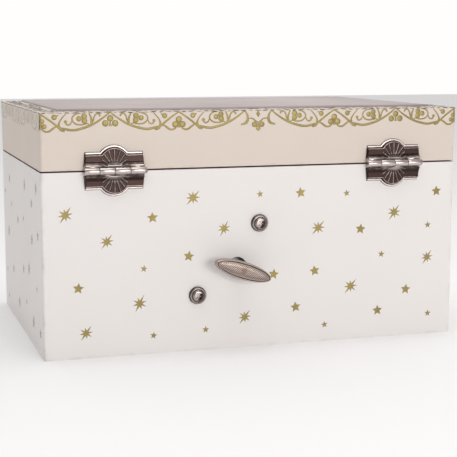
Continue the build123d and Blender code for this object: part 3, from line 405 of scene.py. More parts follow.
def floor_paper():
    """Matt white paper with a slow drift of tone."""
    f = Finish("floor_paper", Roughness=0.85, Specular_IOR_Level=0.2)
    spot = f.spot()
    drift = f.mottle(spot, 0.4, 2.0)
    f.feed(Base_Color=f.mixed(drift, (0.93, 0.925, 0.93), (0.95, 0.945, 0.945)))
    return f.material


FINISHES = {
    "body_board": covered_board("cream_paper", (0.82, 0.787, 0.772), (0.77, 0.727, 0.705),
                                0.0, BODY_TOP * MM, (0.0798, 0.0799)),
    "lid_board": covered_board("ivory_paper", (0.70, 0.612, 0.54), (0.65, 0.555, 0.48),
                               LID_BOTTOM * MM, BOX_Z * MM, (0.0806, 0.0805)),
    "picture_paper": picture_paper(),
    "velvet": velvet("rose_velvet", (0.42, 0.075, 0.13), (0.24, 0.03, 0.06), (0.95, 0.6, 0.66)),
    "satin": satin_cloth("rose_satin", (0.80, 0.50, 0.50), (0.66, 0.36, 0.37)),
    "foam": velvet("roll_velvet", (0.40, 0.07, 0.12), (0.23, 0.03, 0.058), (0.95, 0.6, 0.66)),
    "mirror_glass": looking_glass(),
    "antique_nickel": hinge_plate(),
    "bright_nickel": plated("screw_nickel", (0.50, 0.44, 0.40), (0.16, 0.12, 0.10), 0.22, 0.002),
    "steel": plated("bright_steel", (0.56, 0.56, 0.55), (0.34, 0.33, 0.32), 0.22, 0.006, (1, 6, 1)),
    "brass": plated("turned_brass", (0.72, 0.52, 0.22), (0.46, 0.30, 0.10), 0.24, 0.005, (1, 5, 1)),
    "casting": plated("plated_casting", (0.40, 0.40, 0.41), (0.24, 0.24, 0.25), 0.42, 0.003, depth=0.00006),
    "white_plastic": moulded("white_acetal", (0.82, 0.81, 0.77), (0.74, 0.72, 0.68), 0.42),
    "figure_plastic": moulded("skin_paint", (0.80, 0.52, 0.40), (0.74, 0.44, 0.33), 0.34, 0.3),
    "net": tulle(),
}
GOLD = foil("gold_foil", (0.30, 0.24, 0.092), (0.21, 0.165, 0.058), 0.38)
PALE_GOLD = foil("pale_foil", (0.56, 0.49, 0.40), (0.48, 0.41, 0.33), 0.4, 0.3)
GREY_FOIL = foil("grey_foil", (0.40, 0.37, 0.33), (0.32, 0.29, 0.26), 0.42, 0.3)
# the foil turned over the lid's top edge is painted near-black, standing for its dark reflection
EDGE_FOIL_PAINTED_DARK = moulded("edge_foil_painted_dark", (0.03, 0.018, 0.013), (0.016, 0.01, 0.008), 0.5)
# the lid top's gold foil border is painted dark brown: the dark look of foil seen at a grazing view is
# painted in
TOP_FOIL_PAINTED_DARK = moulded("top_foil_painted_dark", (0.062, 0.038, 0.02), (0.035, 0.021, 0.012), 0.6)
KEY_NICKEL = key_plate()
SCREW_NICKEL = screw_plate()
PIN_NICKEL = plated("pin_nickel", (0.55, 0.49, 0.46), (0.14, 0.10, 0.09), 0.22, 0.002)
SKIN = FINISHES["figure_plastic"]
HAIR = moulded("hair_paint", (0.10, 0.045, 0.02), (0.055, 0.025, 0.012), 0.38, 0.3)
TIGHTS = moulded("tights_paint", (0.86, 0.62, 0.60), (0.80, 0.53, 0.52), 0.4, 0.2)
BODICE = satin_cloth("bodice_satin", (0.80, 0.30, 0.40), (0.62, 0.18, 0.27))
SHOE = satin_cloth("shoe_satin", (0.84, 0.42, 0.48), (0.70, 0.30, 0.37))
LIP = moulded("lip_paint", (0.62, 0.12, 0.13), (0.52, 0.09, 0.10), 0.3, 0.4)
EYE = moulded("eye_paint", (0.05, 0.03, 0.025), (0.03, 0.02, 0.018), 0.2, 0.6)


def paint_frame():
    """Every node of the frame gets the finish of its material slot."""
    for part in frame["record"]["subparts"]:
        node = frame["nodes"][part["node"]]
        finish = FINISHES[part["material_slot"]]
        if part["node"] == "winding_key":
            finish = KEY_NICKEL
        if part["node"] == "hinge_pins":
            finish = PIN_NICKEL
        if part["node"] in ("movement_screws", "cup_washers"):
            finish = SCREW_NICKEL
        if not node.material_slots:
            node.data.materials.append(finish)
        for held in node.material_slots:
            held.material = finish


# ---- mesh helpers ----

def link(o):
    bpy.context.scene.collection.objects.link(o)
    return o


def finished(name, bm, finish, body, replaces=(), smooth=True):
    """Makes a mesh drawn in millimetres a piece that rides on a body."""
    bmesh.ops.transform(bm, matrix=Matrix.Scale(MM, 4), verts=bm.verts)
    mesh = bpy.data.meshes.new(name)
    bm.to_mesh(mesh)
    bm.free()
    mesh.materials.append(finish)
    if smooth:
        mesh.shade_smooth()
    o = link(bpy.data.objects.new(name, mesh))
    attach(o, body)
    if replaces:
        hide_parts(*replaces)
    return o


def settled(o):
    """Applies an object's modifiers to its mesh."""
    graph = bpy.context.evaluated_depsgraph_get()
    made = bpy.data.meshes.new_from_object(o.evaluated_get(graph))
    o.modifiers.clear()
    old = o.data
    o.data = made
    bpy.data.meshes.remove(old)


def remeshed(bm, voxel, smoothing):
    """Fuses overlapping shapes into one skin with faces about voxel millimetres across."""
    mesh = bpy.data.meshes.new("rough")
    bm.to_mesh(mesh)
    bm.free()
    o = link(bpy.data.objects.new("rough", mesh))
    skin = o.modifiers.new("skin", "REMESH")
    skin.mode = "VOXEL"
    skin.voxel_size = voxel
    soft = o.modifiers.new("soft", "SMOOTH")
    soft.iterations = smoothing
    soft.factor = 0.5
    settled(o)
    made = bmesh.new()
    made.from_mesh(o.data)
    bpy.data.objects.remove(o)
    return made


def add_ball(bm, place, size, detail=3):
    """A ball of one radius, or an egg of three half-sizes, at a place."""
    made = bmesh.ops.create_icosphere(bm, subdivisions=detail, radius=1.0)
    half = size if hasattr(size, "__len__") else (size,) * 3
    move = Matrix.Translation(place) @ Matrix.Diagonal((*half, 1))
    bmesh.ops.transform(bm, matrix=move, verts=made["verts"])


def add_limb(bm, start, end, r0, r1, segments=20):
    """A tapering round limb with rounded ends."""
    a = Vector(start)
    b = Vector(end)
    made = bmesh.ops.create_cone(bm, cap_ends=True, segments=segments, radius1=r0, radius2=r1,
                                 depth=(b - a).length)
    move = Matrix.Translation((a + b) / 2) @ (b - a).to_track_quat("Z", "Y").to_matrix().to_4x4()
    bmesh.ops.transform(bm, matrix=move, verts=made["verts"])
    add_ball(bm, a, r0)
    add_ball(bm, b, r1)


def rounded_block(bm, low, high, radius, segments=3):
    """A block with rounded edges between two corners."""
    low = Vector(low)
    high = Vector(high)
    made = bmesh.ops.create_cube(bm, size=1.0)
    size = high - low
    move = Matrix.Translation((low + high) / 2) @ Matrix.Diagonal((*size, 1))
    bmesh.ops.transform(bm, matrix=move, verts=made["verts"])
    edges = list({e for v in made["verts"] for e in v.link_edges})
    bmesh.ops.bevel(bm, geom=edges, offset=radius, segments=segments, affect="EDGES", profile=0.5,
                    material=-1)


def wire(name, runs, closed=False, sides=2, steps=6):
    """Round wire along smooth lines. Each run is a list of (x, y, z, radius)."""
    curve = bpy.data.curves.new(name, "CURVE")
    curve.dimensions = "3D"
    curve.bevel_depth = 1.0
    curve.bevel_resolution = sides
    curve.resolution_u = steps
    curve.use_fill_caps = True
    for run in runs:
        spline = curve.splines.new("BEZIER")
        spline.use_cyclic_u = closed
        spline.bezier_points.add(len(run) - 1)
        for point, (x, y, z, radius) in zip(spline.bezier_points, run):
            point.co = (x, y, z)
            point.radius = radius
            point.handle_left_type = "AUTO"
            point.handle_right_type = "AUTO"
    o = link(bpy.data.objects.new(name, curve))
    graph = bpy.context.evaluated_depsgraph_get()
    made = bmesh.new()
    mesh = bpy.data.meshes.new_from_object(o.evaluated_get(graph))
    made.from_mesh(mesh)
    bpy.data.meshes.remove(mesh)
    bpy.data.objects.remove(o)
    bpy.data.curves.remove(curve)
    return made


def stamped(bm, motif, move, mitre=None):
    """Adds a copy of a flat motif, moved to its place, and cut along a mitre plane if one is given."""
    copy = bmesh.new()
    copy.from_mesh(motif)
    bmesh.ops.transform(copy, matrix=move, verts=copy.verts)
    if mitre:
        place, outward = mitre
        geom = copy.verts[:] + copy.edges[:] + copy.faces[:]
        cut = bmesh.ops.bisect_plane(copy, geom=geom, plane_co=place, plane_no=outward, clear_outer=True)
        rim = [e for e in cut["geom_cut"] if isinstance(e, bmesh.types.BMEdge)]
        bmesh.ops.holes_fill(copy, edges=rim)
    placed = bpy.data.meshes.new("placed")
    copy.to_mesh(placed)
    copy.free()
    bm.from_mesh(placed)
    bpy.data.meshes.remove(placed)


def as_motif(name, bm):
    """Makes a mesh of a motif drawn in round wire, flattened until it is as thin as foil."""
    bmesh.ops.transform(bm, matrix=Matrix.Diagonal((1, 1, FLATTENED, 1)), verts=bm.verts)
    mesh = bpy.data.meshes.new(name)
    bm.to_mesh(mesh)
    bm.free()
    return mesh


# ---- camera, light and floor ----

def set_camera():
    """A long lens behind the box, a little above it and to its left side."""
    data = bpy.data.cameras.new("camera")
    data.lens = 95.1
    data.sensor_width = 36.0
    data.clip_start = 0.01
    camera = bpy.data.objects.new("camera", data)
    camera.location = (0.1692, 0.5616, 0.1286)
    looking = Vector((-0.2956, -0.9446, -0.1428))
    camera.rotation_euler = looking.to_track_quat("-Z", "Y").to_euler()
    bpy.context.scene.collection.objects.link(camera)
    bpy.context.scene.camera = camera


def soft_light(name, place, aim, width, height, watts, colour=(1, 1, 1)):
    """A large square lamp at a place, facing its aim. Lengths are in metres."""
    data = bpy.data.lights.new(name, "AREA")
    data.shape = "RECTANGLE"
    data.size = width
    data.size_y = height
    data.energy = watts
    data.color = colour
    lamp = bpy.data.objects.new(name, data)
    lamp.location = place
    lamp.rotation_euler = (Vector(aim) - Vector(place)).to_track_quat("-Z", "Y").to_euler()
    bpy.context.scene.collection.objects.link(lamp)


def set_studio():
    """A bright room, darker behind the camera and at its left, so that the box has a shaded side."""
    world = bpy.data.worlds.new("studio")
    world.use_nodes = True
    room = Nodes(world.node_tree)
    x, y, z = room.axes(room.node("ShaderNodeTexCoord"))
    behind = room.step(y, -0.25, 0.55)
    left = room.step(x, 0.15, 0.85)
    background = world.node_tree.nodes["Background"]
    room.put(background.inputs["Strength"], (1 - behind * 0.62) * (1 - left * 0.36))
    room.put(background.inputs["Color"], (1.0, 0.99, 0.985))
    bpy.context.scene.world = world
    bpy.context.scene.view_settings.view_transform = "Standard"
    soft_light("key_light", (-0.25, 1.15, 0.2), (0, 0.05, 0.03), 0.5, 0.3, 4.0, (1, 0.985, 0.97))
    soft_light("top_light", (0.05, 0.25, 1.1), (0, 0.05, 0.0), 0.9, 0.9, 4.2)


def lay_floor():
    """A wide sheet of white paper under the box."""
    bm = bmesh.new()
    bmesh.ops.create_grid(bm, x_segments=4, y_segments=4, size=3.0)
    mesh = bpy.data.meshes.new("floor")
    bm.to_mesh(mesh)
    bm.free()
    mesh.materials.append(floor_paper())
    floor = link(bpy.data.objects.new("floor", mesh))


# ---- foil print ----

# the length of one unit of the border
UNIT_L = 29.7
# the share of its drawn thickness that a flattened motif keeps
FLATTENED = 0.07


def scroll_motif():
    """One unit of the border: x runs along the edge, y runs away from it."""
    runs = [
        [(29.7, 0, 0, 0.25), (27, 2.1, 0, 0.36), (21.8, 5.2, 0, 0.48), (16.6, 6.9, 0, 0.5),
         (13.8, 7.3, 0, 0.5), (10.7, 6.8, 0, 0.5), (9.0, 6.3, 0, 0.3)],
        [(11.1, 0.4, 0, 0.2), (8.6, 3.5, 0, 0.3), (8.1, 5.2, 0, 0.45), (8.9, 6.9, 0, 0.62),
         (10.5, 7.7, 0, 0.35)],
        [(0, 0.3, 0, 0.3), (3.6, 2.7, 0, 0.38), (7.3, 5.6, 0, 0.45), (8.6, 6.8, 0, 0.3)],
        [(7.2, 5.5, 0, 0.25), (5.5, 6.6, 0, 0.42), (3.8, 7.7, 0, 0.42), (1.8, 7.4, 0, 0.36),
         (0.7, 5.7, 0, 0.2)],
        [(6.3, 2.0, 0, 0.5), (7.0, 1.5, 0, 0.4), (8.0, 1.0, 0, 0.15)],
        [(21.5, 5.0, 0, 0.3), (21.8, 3.1, 0, 0.46), (20.8, 0.3, 0, 0.26)],
        [(17.2, 0.3, 0, 0.22), (14.7, 1.0, 0, 0.28), (13.6, 2.7, 0, 0.3), (14.6, 4.4, 0, 0.32),
         (17.0, 5.1, 0, 0.32), (19.8, 4.7, 0, 0.26)],
        [(13.5, 3.5, 0, 0.2), (12.8, 4.8, 0, 0.32), (11.5, 5.0, 0, 0.36), (10.8, 4.2, 0, 0.26)],
        [(21.8, 4.8, 0, 0.2), (22.5, 3.5, 0, 0.32), (23.0, 1.7, 0, 0.32), (24.0, 0.6, 0, 0.3),
         (25.1, 0.9, 0, 0.36), (25.4, 1.7, 0, 0.4)],
        [(18.2, 2.6, 0, 0.3), (19.4, 4.2, 0, 0.25), (21.0, 5.2, 0, 0.2)],
    ]
    bm = wire("scroll", runs, sides=1, steps=5)
    for x, y, r in ((6.2, 1.9, 1.15), (16.5, 2.6, 1.15), (18.7, 1.6, 1.25), (18.8, 3.5, 1.25),
                    (10.9, 3.8, 0.7)):
        add_ball(bm, (x, y, 0), r, detail=2)
    return as_motif("scroll", bm)


def trefoil_motif(name, lobes, foot):
    """Three round lobes on a short stem that widens to its foot."""
    runs = [[(0, lobes[0][1], 0, 0.35), (0, (lobes[0][1] + foot) / 2, 0, 0.3), (0, foot, 0, 0.6)]]
    bm = wire(name, runs, sides=1, steps=4)
    for x, y in lobes:
        add_ball(bm, (x, y, 0), 1.4, detail=2)
    return as_motif(name, bm)


def middle_motif():
    """The pendant at the middle of a long side."""
    runs = []
    for side in (-1, 1):
        runs.append([(6 * side, 0.2, 0, 0.25), (4.8 * side, 2.6, 0, 0.45), (5.3 * side, 5.2, 0, 0.62),
                     (7.9 * side, 6.3, 0, 0.3)])
        runs.append([(4.7 * side, 3.6, 0, 0.22), (2.6 * side, 3.7, 0, 0.3), (1.0 * side, 4.8, 0, 0.3),
                     (0, 5.4, 0, 0.25)])
    runs.append([(0, 5.2, 0, 0.3), (0, 7.6, 0, 0.5), (0, 9.2, 0, 0.12)])
    runs.append([(0, 0.3, 0, 0.12), (0, 1.7, 0, 0.85), (0, 3.1, 0, 0.12)])
    bm = wire("middle", runs, sides=1, steps=6)
    for x, y, r in ((1.7, 6.2, 1.25), (-1.7, 6.2, 1.25), (0, 7.8, 1.1)):
        add_ball(bm, (x, y, 0), r, detail=2)
    return as_motif("middle", bm)


def corner_motif():
    """Half a trefoil, for each side of a box corner."""
    runs = [[(0.5, 0.4, 0, 0.25), (0.6, 3.6, 0, 0.4), (0.6, 7.0, 0, 0.5)]]
    bm = wire("corner", runs, sides=1, steps=4)
    for x, y in ((1.1, 3.5), (2.0, 5.6)):
        add_ball(bm, (x, y, 0), 1.05, detail=2)
    return as_motif("corner", bm)


def edge_frame(along, down, origin):
    """Maps a motif's own x, y and thickness onto an edge: along it, away from it, and outwards."""
    a = Vector(along)
    d = Vector(down)
    out = a.normalized().cross(d.normalized())
    move = Matrix((a, d, out)).transposed().to_4x4()
    return Matrix.Translation(origin) @ move


def border(name, finish, on_top, ways=(True, False)):
    """The scrolled border, on the lid's walls or its top: ways says if long and short sides have it."""
    scroll = scroll_motif()
    plain = trefoil_motif("plain", ((0, 2.6), (2.1, 4.7), (-2.1, 4.7)), 5.9)
    stemmed = trefoil_motif("stemmed", ((0, 3.5), (1.6, 5.6), (-1.6, 5.6)), 7.0)
    middle = middle_motif()
    corner = corner_motif()
    bm = bmesh.new()
    for side in (-1, 1):
        for lengthwise in ways:
            if lengthwise:
                edge = Vector((0, side * BOX_Y, BOX_Z))
                run = Vector((1, 0, 0))
                inward = Vector((0, -side, 0))
                half = BOX_X
                unit = UNIT_L
            else:
                edge = Vector((side * BOX_X, 0, BOX_Z))
                run = Vector((0, 1, 0))
                inward = Vector((-side, 0, 0))
                half = BOX_Y
                unit = BOX_Y / 2
            down = inward if on_top else Vector((0, 0, -1))
            shift = down * (0.5 if on_top else 0.25)
            for end in (-1, 1):
                towards = -end * run
                start = edge + shift + end * half * run
                stretch = unit / UNIT_L
                mitre = None
                if on_top:
                    # the corner is mitred, so that the two sides' prints meet on the diagonal
                    mitre = (start - shift, (inward + end * run).normalized())
                places = [(scroll, start, towards * stretch, mitre)]
                turned = start + towards * 2 * unit
                places.append((scroll, turned, -towards * stretch, None))
                places.append((plain, start + towards * unit, towards, None))
                places.append((corner, start, towards, mitre))
                if lengthwise:
                    places.append((scroll, turned, towards * stretch, None))
                    places.append((stemmed, turned, towards, None))
                for motif, place, along, cut in places:
                    stamped(bm, motif, edge_frame(along, down, place), cut)
            centre = edge + shift
            stamped(bm, middle if lengthwise else stemmed, edge_frame(run, down, centre))
    bmesh.ops.recalc_face_normals(bm, faces=bm.faces)
    finished(name, bm, finish, "lid")


def edge_print():
    """Where the border print turns over the lid's top edge it shows as a row of short dark strokes: the
    gold foil's dark reflection there is painted as near-black strokes.
    """
    pitch, low, sink = 3.3, 0.4, 0.06
    runs = []
    for side in (-1, 1):
        for half, out, lengthwise in ((BOX_X, BOX_Y, True), (BOX_Y, BOX_X, False)):
            count = int(2 * half / pitch)
            for k in range(count):
                # no two neighbours have quite the same length, slant, height and thickness
                middle = -half + (k + 0.5) * 2 * half / count
                length = 1.35 + 0.35 * math.sin(2.1 * k)
                climb = 0.22 * math.sin(1.3 * k + 0.6)
                height = BOX_Z - low + 0.12 * math.sin(2.9 * k)
                thick = 0.17 + 0.06 * math.sin(1.7 * k)
                run = []
                for share, radius in ((-1, 0.04), (-0.3, thick), (0.4, thick * 0.9), (1, 0.04)):
                    along = middle + share * length
                    away = side * (out - sink)
                    place = (along, away) if lengthwise else (away, along)
                    run.append((*place, height + share * climb, radius))
                runs.append(run)
    bm = wire("edge_print", runs, sides=1, steps=3)
    finished("edge_print", bm, EDGE_FOIL_PAINTED_DARK, "lid")


def star_motif(name, radii, turn=0.0):
    """A flat star: radii are taken in turn round the circle, a tip and then a valley."""
    count = {8: 16, 2: 10}[len(radii)]
    bm = bmesh.new()
    made = bmesh.ops.create_circle(bm, cap_ends=True, segments=count, radius=1.0)
    for vertex in made["verts"]:
        angle = math.atan2(vertex.co.y, vertex.co.x) - math.radians(90)
        k = round(angle / (2 * math.pi / count))
        vertex.co *= radii[k % len(radii)]
    bmesh.ops.rotate(bm, cent=(0, 0, 0), matrix=Matrix.Rotation(turn, 3, "Z"), verts=bm.verts)
    raised = bmesh.ops.extrude_face_region(bm, geom=bm.faces[:])
    up = [v for v in raised["geom"] if isinstance(v, bmesh.types.BMVert)]
    bmesh.ops.translate(bm, vec=(0, 0, 0.04), verts=up)
    bmesh.ops.translate(bm, vec=(0, 0, -0.01), verts=bm.verts)
    bmesh.ops.recalc_face_normals(bm, faces=bm.faces)
    mesh = bpy.data.meshes.new(name)
    bm.to_mesh(mesh)
    bm.free()
    return mesh


# Each star's place: how far along its wall from the middle, and how high.
BACK_BIG = ((85, 62), (67.5, 50), (53.5, 22.5), (77, 11), (29.5, 67.5), (15.5, 53.5), (-28.5, 52),
            (6, 13.5), (-65.5, 57.5), (-82.5, 36), (-44.5, 24.5))
BACK_MIDDLE = ((47.5, 59.5), (80, 30.5), (31.5, 42), (-20, 68), (-7.5, 32), (-27, 32.5), (-18, 16.5),
               (-86.5, 66.5), (-49, 50.5), (-72, 21.5), (-58, 12.5))
BACK_SMALL = ((51.5, 37.5), (47.5, 8), (24, 9), (-1, 68), (-42, 67), (-82.5, 51), (-59.5, 38.5),
              (-83.5, 9.5), (-32, 7.5))
SIDE_BIG = ((15, 70), (50, 72), (-45, 41), (35, 48), (24, 33), (-11, 11), (35, 11))
SIDE_MIDDLE = ((36, 64), (-10, 51), (53, 52), (6, 30), (55, 10), (-38, 68), (-30, 24))
SIDE_SMALL = ((-32, 56), (9, 54), (47, 28), (14, 16), (-56, 60), (-54, 20), (-50, 7))


def sprinkle(bm, motifs, places, origin, along):
    """Stars on one wall, each turned a little so that no two neighbours match."""
    for k, (s, z) in enumerate(places):
        turn = Matrix.Rotation(0.15 * math.sin(2.4 * k + s), 4, "Z")
        move = edge_frame(along, (0, 0, 1), Vector(origin) + Vector(along) * s + Vector((0, 0, z)))
        stamped(bm, motifs[k % len(motifs)], move @ turn)


def foil_stars(name, finish, walls, sets):
    """Stars over a pair of opposite walls: walls gives each one's middle, its run and its handedness."""
    long_turn = math.radians(-36)
    tips = (4.3, 1.3, 2.7, 1.2, 3.3, 1.2, 3.3, 1.3)
    big = (star_motif("big_star", tips, long_turn),
           star_motif("big_star", [r * 0.92 for r in tips], long_turn + 0.1))
    middle = (star_motif("middle_star", (2.5, 1.2)),)
    small = (star_motif("small_star", (1.65, 0.7)),)
    bm = bmesh.new()
    for origin, along, sign in walls:
        for motifs, places in zip((big, middle, small), sets):
            turned = [(sign * s, z) for s, z in places]
            sprinkle(bm, motifs, turned, origin, along)
    finished(name, bm, finish, "box", smooth=False)


# ---- hinges ----

HINGE_X, HINGE_Z, HINGE_Y = 64.0, 80.2, 66.0
LEAF_LOW, LEAF_HIGH = 2.0, 8.0
SHELL_R, SHELL_Z = 7.6, 3.3
# half the strip's width, and how much it narrows on each side for each millimetre of height
STRIP_HALF, STRIP_TAPER = 13.0, 0.08
# the middle of the shell's fan of ribs
FAN_Z = 1.0
KNUCKLE_R, KNUCKLE_LONG = 1.65, 6.6


def ease(value, low, high):
    """0 at low, 1 at high, smooth between and level beyond. low may be the larger."""
    t = min(max((value - low) / (high - low), 0.0), 1.0)
    return t * t * (3 - 2 * t)


def leaf_outline(x, z):
    """How far inside the leaf's outline a place is: the larger of the winged strip and the shell."""
    wing = min(STRIP_HALF - STRIP_TAPER * (z - LEAF_LOW) - abs(x), LEAF_HIGH - z)
    return max(wing, SHELL_R - math.hypot(x, z - SHELL_Z))


def leaf_relief(x, z, up):
    """Height of the stamping over the wall, and how bright it is painted: rubbed wear and painted highlight
    on the flange, ridge and ribs, a painted reflection on the strip that curves down to the knuckles, and a
    painted highlight at the shell's middle.
    """
    lobe = SHELL_R - math.hypot(x, z - SHELL_Z)
    d = max(LEAF_HIGH - z, lobe)
    end = 1.0 if lobe > 0 else ease(STRIP_HALF - STRIP_TAPER * (z - LEAF_LOW) - abs(x), 0.0, 0.35)
    flange = 0.6 * ease(d, -0.02, 0.25)
    step = 1.05 * ease(d, 1.0, 1.3)
    ridge = ease(d, 1.2, 1.45) * (1 - ease(d, 1.5, 1.8))
    rise = ease(z, 4.2, 2.4)
    out = math.hypot(x, z - FAN_Z)
    turn = math.atan2(x, z - FAN_Z)
    fan = ease(out, 2.4, 3.8) * ease(lobe, 1.6, 2.0)
    rib = max(0.0, math.cos(20 * turn)) ** 3 * fan
    height = (flange + step + 0.3 * ridge + 0.85 * rise + 0.22 * rib) * end
    # painted highlight at the middle of the shell
    glow = 0.3 * (1 - ease(out, 1.5, 5.5))
    # painted reflection on the strip that curves down to the knuckles, brighter towards the upper leaf's
    # wings
    strip_painted_reflection = 0.2 if up < 0 else 0.15 + 0.4 * ease(abs(x), 3.0, 11.0)
    lit = max(0.85 * flange / 0.6 * (1 - ease(d, 0.7, 0.95)), 0.75 * ridge, strip_painted_reflection * rise, 0.5 * rib)
    return height, lit * end + glow * (1 - ridge)


def hinge_leaf(side, up):
    """A stamped leaf: a flange, a groove, a bright ridge, the ribbed shell and its rolled knuckles."""
    bm = bmesh.new()
    # this attribute holds how bright the nickel is painted: rubbed wear with painted reflection and painted
    # highlight
    proud = bm.verts.layers.float.new("proud")
    bmesh.ops.create_grid(bm, x_segments=150, y_segments=56, size=0.5)
    bmesh.ops.transform(bm, matrix=Matrix.Diagonal((26.4, 9.4, 1, 1)), verts=bm.verts)
    bmesh.ops.translate(bm, vec=(0, LEAF_LOW + 4.7, 0), verts=bm.verts)
    outside = [f for f in bm.faces if leaf_outline(*f.calc_center_median().xy) < 0]
    bmesh.ops.delete(bm, geom=outside, context="FACES")
    rim = [v for v in bm.verts if v.is_boundary and v.co.y > LEAF_LOW + 0.01]
    # the cut rim is stepped, so its vertices are drawn onto the outline
    for _ in range(4):
        for v in rim:
            x, z = v.co.xy
            d = leaf_outline(x, z)
            slope = Vector((leaf_outline(x + 0.01, z) - d, leaf_outline(x, z + 0.01) - d)) / 0.01
            v.co.xy = v.co.xy - slope * d / max(slope.length_squared, 0.2)
    low = [e for e in bm.edges if e.is_boundary and max(v.co.y for v in e.verts) < LEAF_LOW + 0.01]
    for v in bm.verts:
        x, z = v.co.xy
        height, v[proud] = leaf_relief(x, z, up)
        v.co.z = height + 0.02
    skirt = bmesh.ops.extrude_edge_only(bm, edges=low)
    for v in skirt["geom"]:
        if isinstance(v, bmesh.types.BMVert):
            v.co.z = -0.02
    turn = Matrix(((1, 0, 0, 0), (0, 0, 1, 0), (0, 1, 0, 0), (0, 0, 0, 1)))
    bmesh.ops.transform(bm, matrix=turn, verts=bm.verts)
    outer = ((-STRIP_HALF, -KNUCKLE_LONG), (KNUCKLE_LONG, STRIP_HALF))
    inner = ((-KNUCKLE_LONG, 0.0), (0.0, KNUCKLE_LONG))
    spans = outer if up > 0 else inner
    for x0, x1 in spans:
        first = set(bm.verts)
        made = bmesh.ops.create_cone(bm, cap_ends=True, segments=32, radius1=KNUCKLE_R,
                                     radius2=KNUCKLE_R, depth=x1 - x0 - 0.16)
        centre = Matrix.Translation(((x0 + x1) / 2, HINGE_Y - BOX_Y, 0))
        move = centre @ Matrix.Rotation(math.radians(90), 4, "Y")
        bmesh.ops.transform(bm, matrix=move, verts=made["verts"])
        rings = [e for e in {e for v in made["verts"] for e in v.link_edges}
                 if abs(e.verts[0].co.x - e.verts[1].co.x) < 0.001 and len(e.link_faces) == 2
                 and any(len(f.verts) > 4 for f in e.link_faces)]
        bmesh.ops.bevel(bm, geom=rings, offset=0.14, segments=2, affect="EDGES", profile=0.5, material=-1)
        rounded_block(bm, (x0 + 0.1, 0.1, 0.4), (x1 - 0.1, 1.9, LEAF_LOW + 0.3), 0.1, 1)
        for v in set(bm.verts) - first:
            v[proud] = 0.9
    for v in bm.verts:
        v.co.z *= up
    bmesh.ops.recalc_face_normals(bm, faces=bm.faces)
    bmesh.ops.translate(bm, vec=(side * HINGE_X, BOX_Y, HINGE_Z), verts=bm.verts)
    end = "left" if side > 0 else "right"
    owner = "lid" if up > 0 else "body"
    node = f"{owner}_hinge_leaf_{end}"
    body = "lid" if up > 0 else "box"
    finished(node.replace("hinge_leaf", "hinge_shell"), bm, FINISHES["antique_nickel"], body,
             [node])


# ---- key ----

# half the plate's length and height, and how thick it is
PLATE_L, PLATE_H, PLATE_T = 13.25, 3.9, 2.4
STEM_R, STEM_LONG = 2.9, 9.7
# each ring is (inset from the oval's edge, share of the thickness, how dark its painted shade is)
PLATE_RINGS = ((0.0, 0.0, 0.6), (0.0, 0.5, 0.0), (0.1, 0.75, 0.0), (0.3, 0.98, 0.0), (0.62, 1.02, 0.0),
               (0.7, 0.8, 1.0), (0.92, 0.8, 1.0), (1.0, 0.95, 0.3), (1.12, 1.0, 0.0), (3.2, 1.0, 0.0))


def thumb_plate():
    """The key's long oval plate, stepped and grooved inside its rim, on a round stem."""
    bm = bmesh.new()
    hollow = bm.verts.layers.float.new("hollow")
    made = bmesh.ops.create_circle(bm, segments=120, radius=1.0)
    ring = made["verts"]
    edges = bm.edges[:]
    flat = {v: v.co.xy.copy() for v in ring}
    for k, (inset, height, dark) in enumerate(PLATE_RINGS):
        if k:
            grown = bmesh.ops.extrude_edge_only(bm, edges=edges)
            edges = [g for g in grown["geom"] if isinstance(g, bmesh.types.BMEdge)]
            ring = [g for g in grown["geom"] if isinstance(g, bmesh.types.BMVert)]
            last_l, last_h = PLATE_L - PLATE_RINGS[k - 1][0], PLATE_H - PLATE_RINGS[k - 1][0]
            flat = {v: Vector((v.co.x / last_l, v.co.y / last_h)) for v in ring}
        for v, way in flat.items():
            v.co = Vector((way.x * (PLATE_L - inset), way.y * (PLATE_H - inset), height))
            v[hollow] = dark
    bmesh.ops.holes_fill(bm, edges=bm.edges[:])
    bmesh.ops.recalc_face_normals(bm, faces=bm.faces)
    bmesh.ops.scale(bm, vec=(1, 1, PLATE_T), verts=bm.verts)
    turn = Matrix.Rotation(math.radians(KEY_TURN), 4, "Y") @ Matrix.Rotation(math.radians(-90), 4, "X")
    bmesh.ops.transform(bm, matrix=turn, verts=bm.verts)
    bmesh.ops.translate(bm, vec=(0, 8.0, 0), verts=bm.verts)
    stem = bmesh.ops.create_cone(bm, cap_ends=True, segments=40, radius1=STEM_R, radius2=STEM_R,
                                 depth=STEM_LONG)
    move = Matrix.Translation((0, 3.35, 0)) @ Matrix.Rotation(math.radians(90), 4, "X")
    bmesh.ops.transform(bm, matrix=move, verts=stem["verts"])
    # the stem under the plate is painted wholly in shade
    for v in stem["verts"]:
        v[hollow] = 1.0
    bmesh.ops.translate(bm, vec=(KEY_X, BOX_Y, KEY_Z), verts=bm.verts)
    finished("key_thumb_plate", bm, KEY_NICKEL, "key", ["winding_key"])


# ---- lining, partitions and ring rolls ----

# Cloth is worked out at ten times life size, from millimetres and back.
CLOTH_SCALE, CLOTH_BACK = 0.01, 100
CLOTH_FRAMES = 20
ROLL_X, ROLL_Y, ROLL_TOP = 29.3, 4.9, 10.6
ROLL_PITCH = 11.2
# half the size of the glass that shows within the satin
GLASS_X, GLASS_Y = 68.0, 40.0

def corners(node):
    """The low and high corners of a node's box, in millimetres."""
    low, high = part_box(node)
    return low / MM, high / MM


def covered_partition(node):
    """A thin board under velvet, its top edge rounded by the cloth."""
    low, high = corners(node)
    bm = bmesh.new()
    rounded_block(bm, low, high, 1.1, 4)
    finished(node + "_velvet", bm, FINISHES["velvet"], "box", [node])


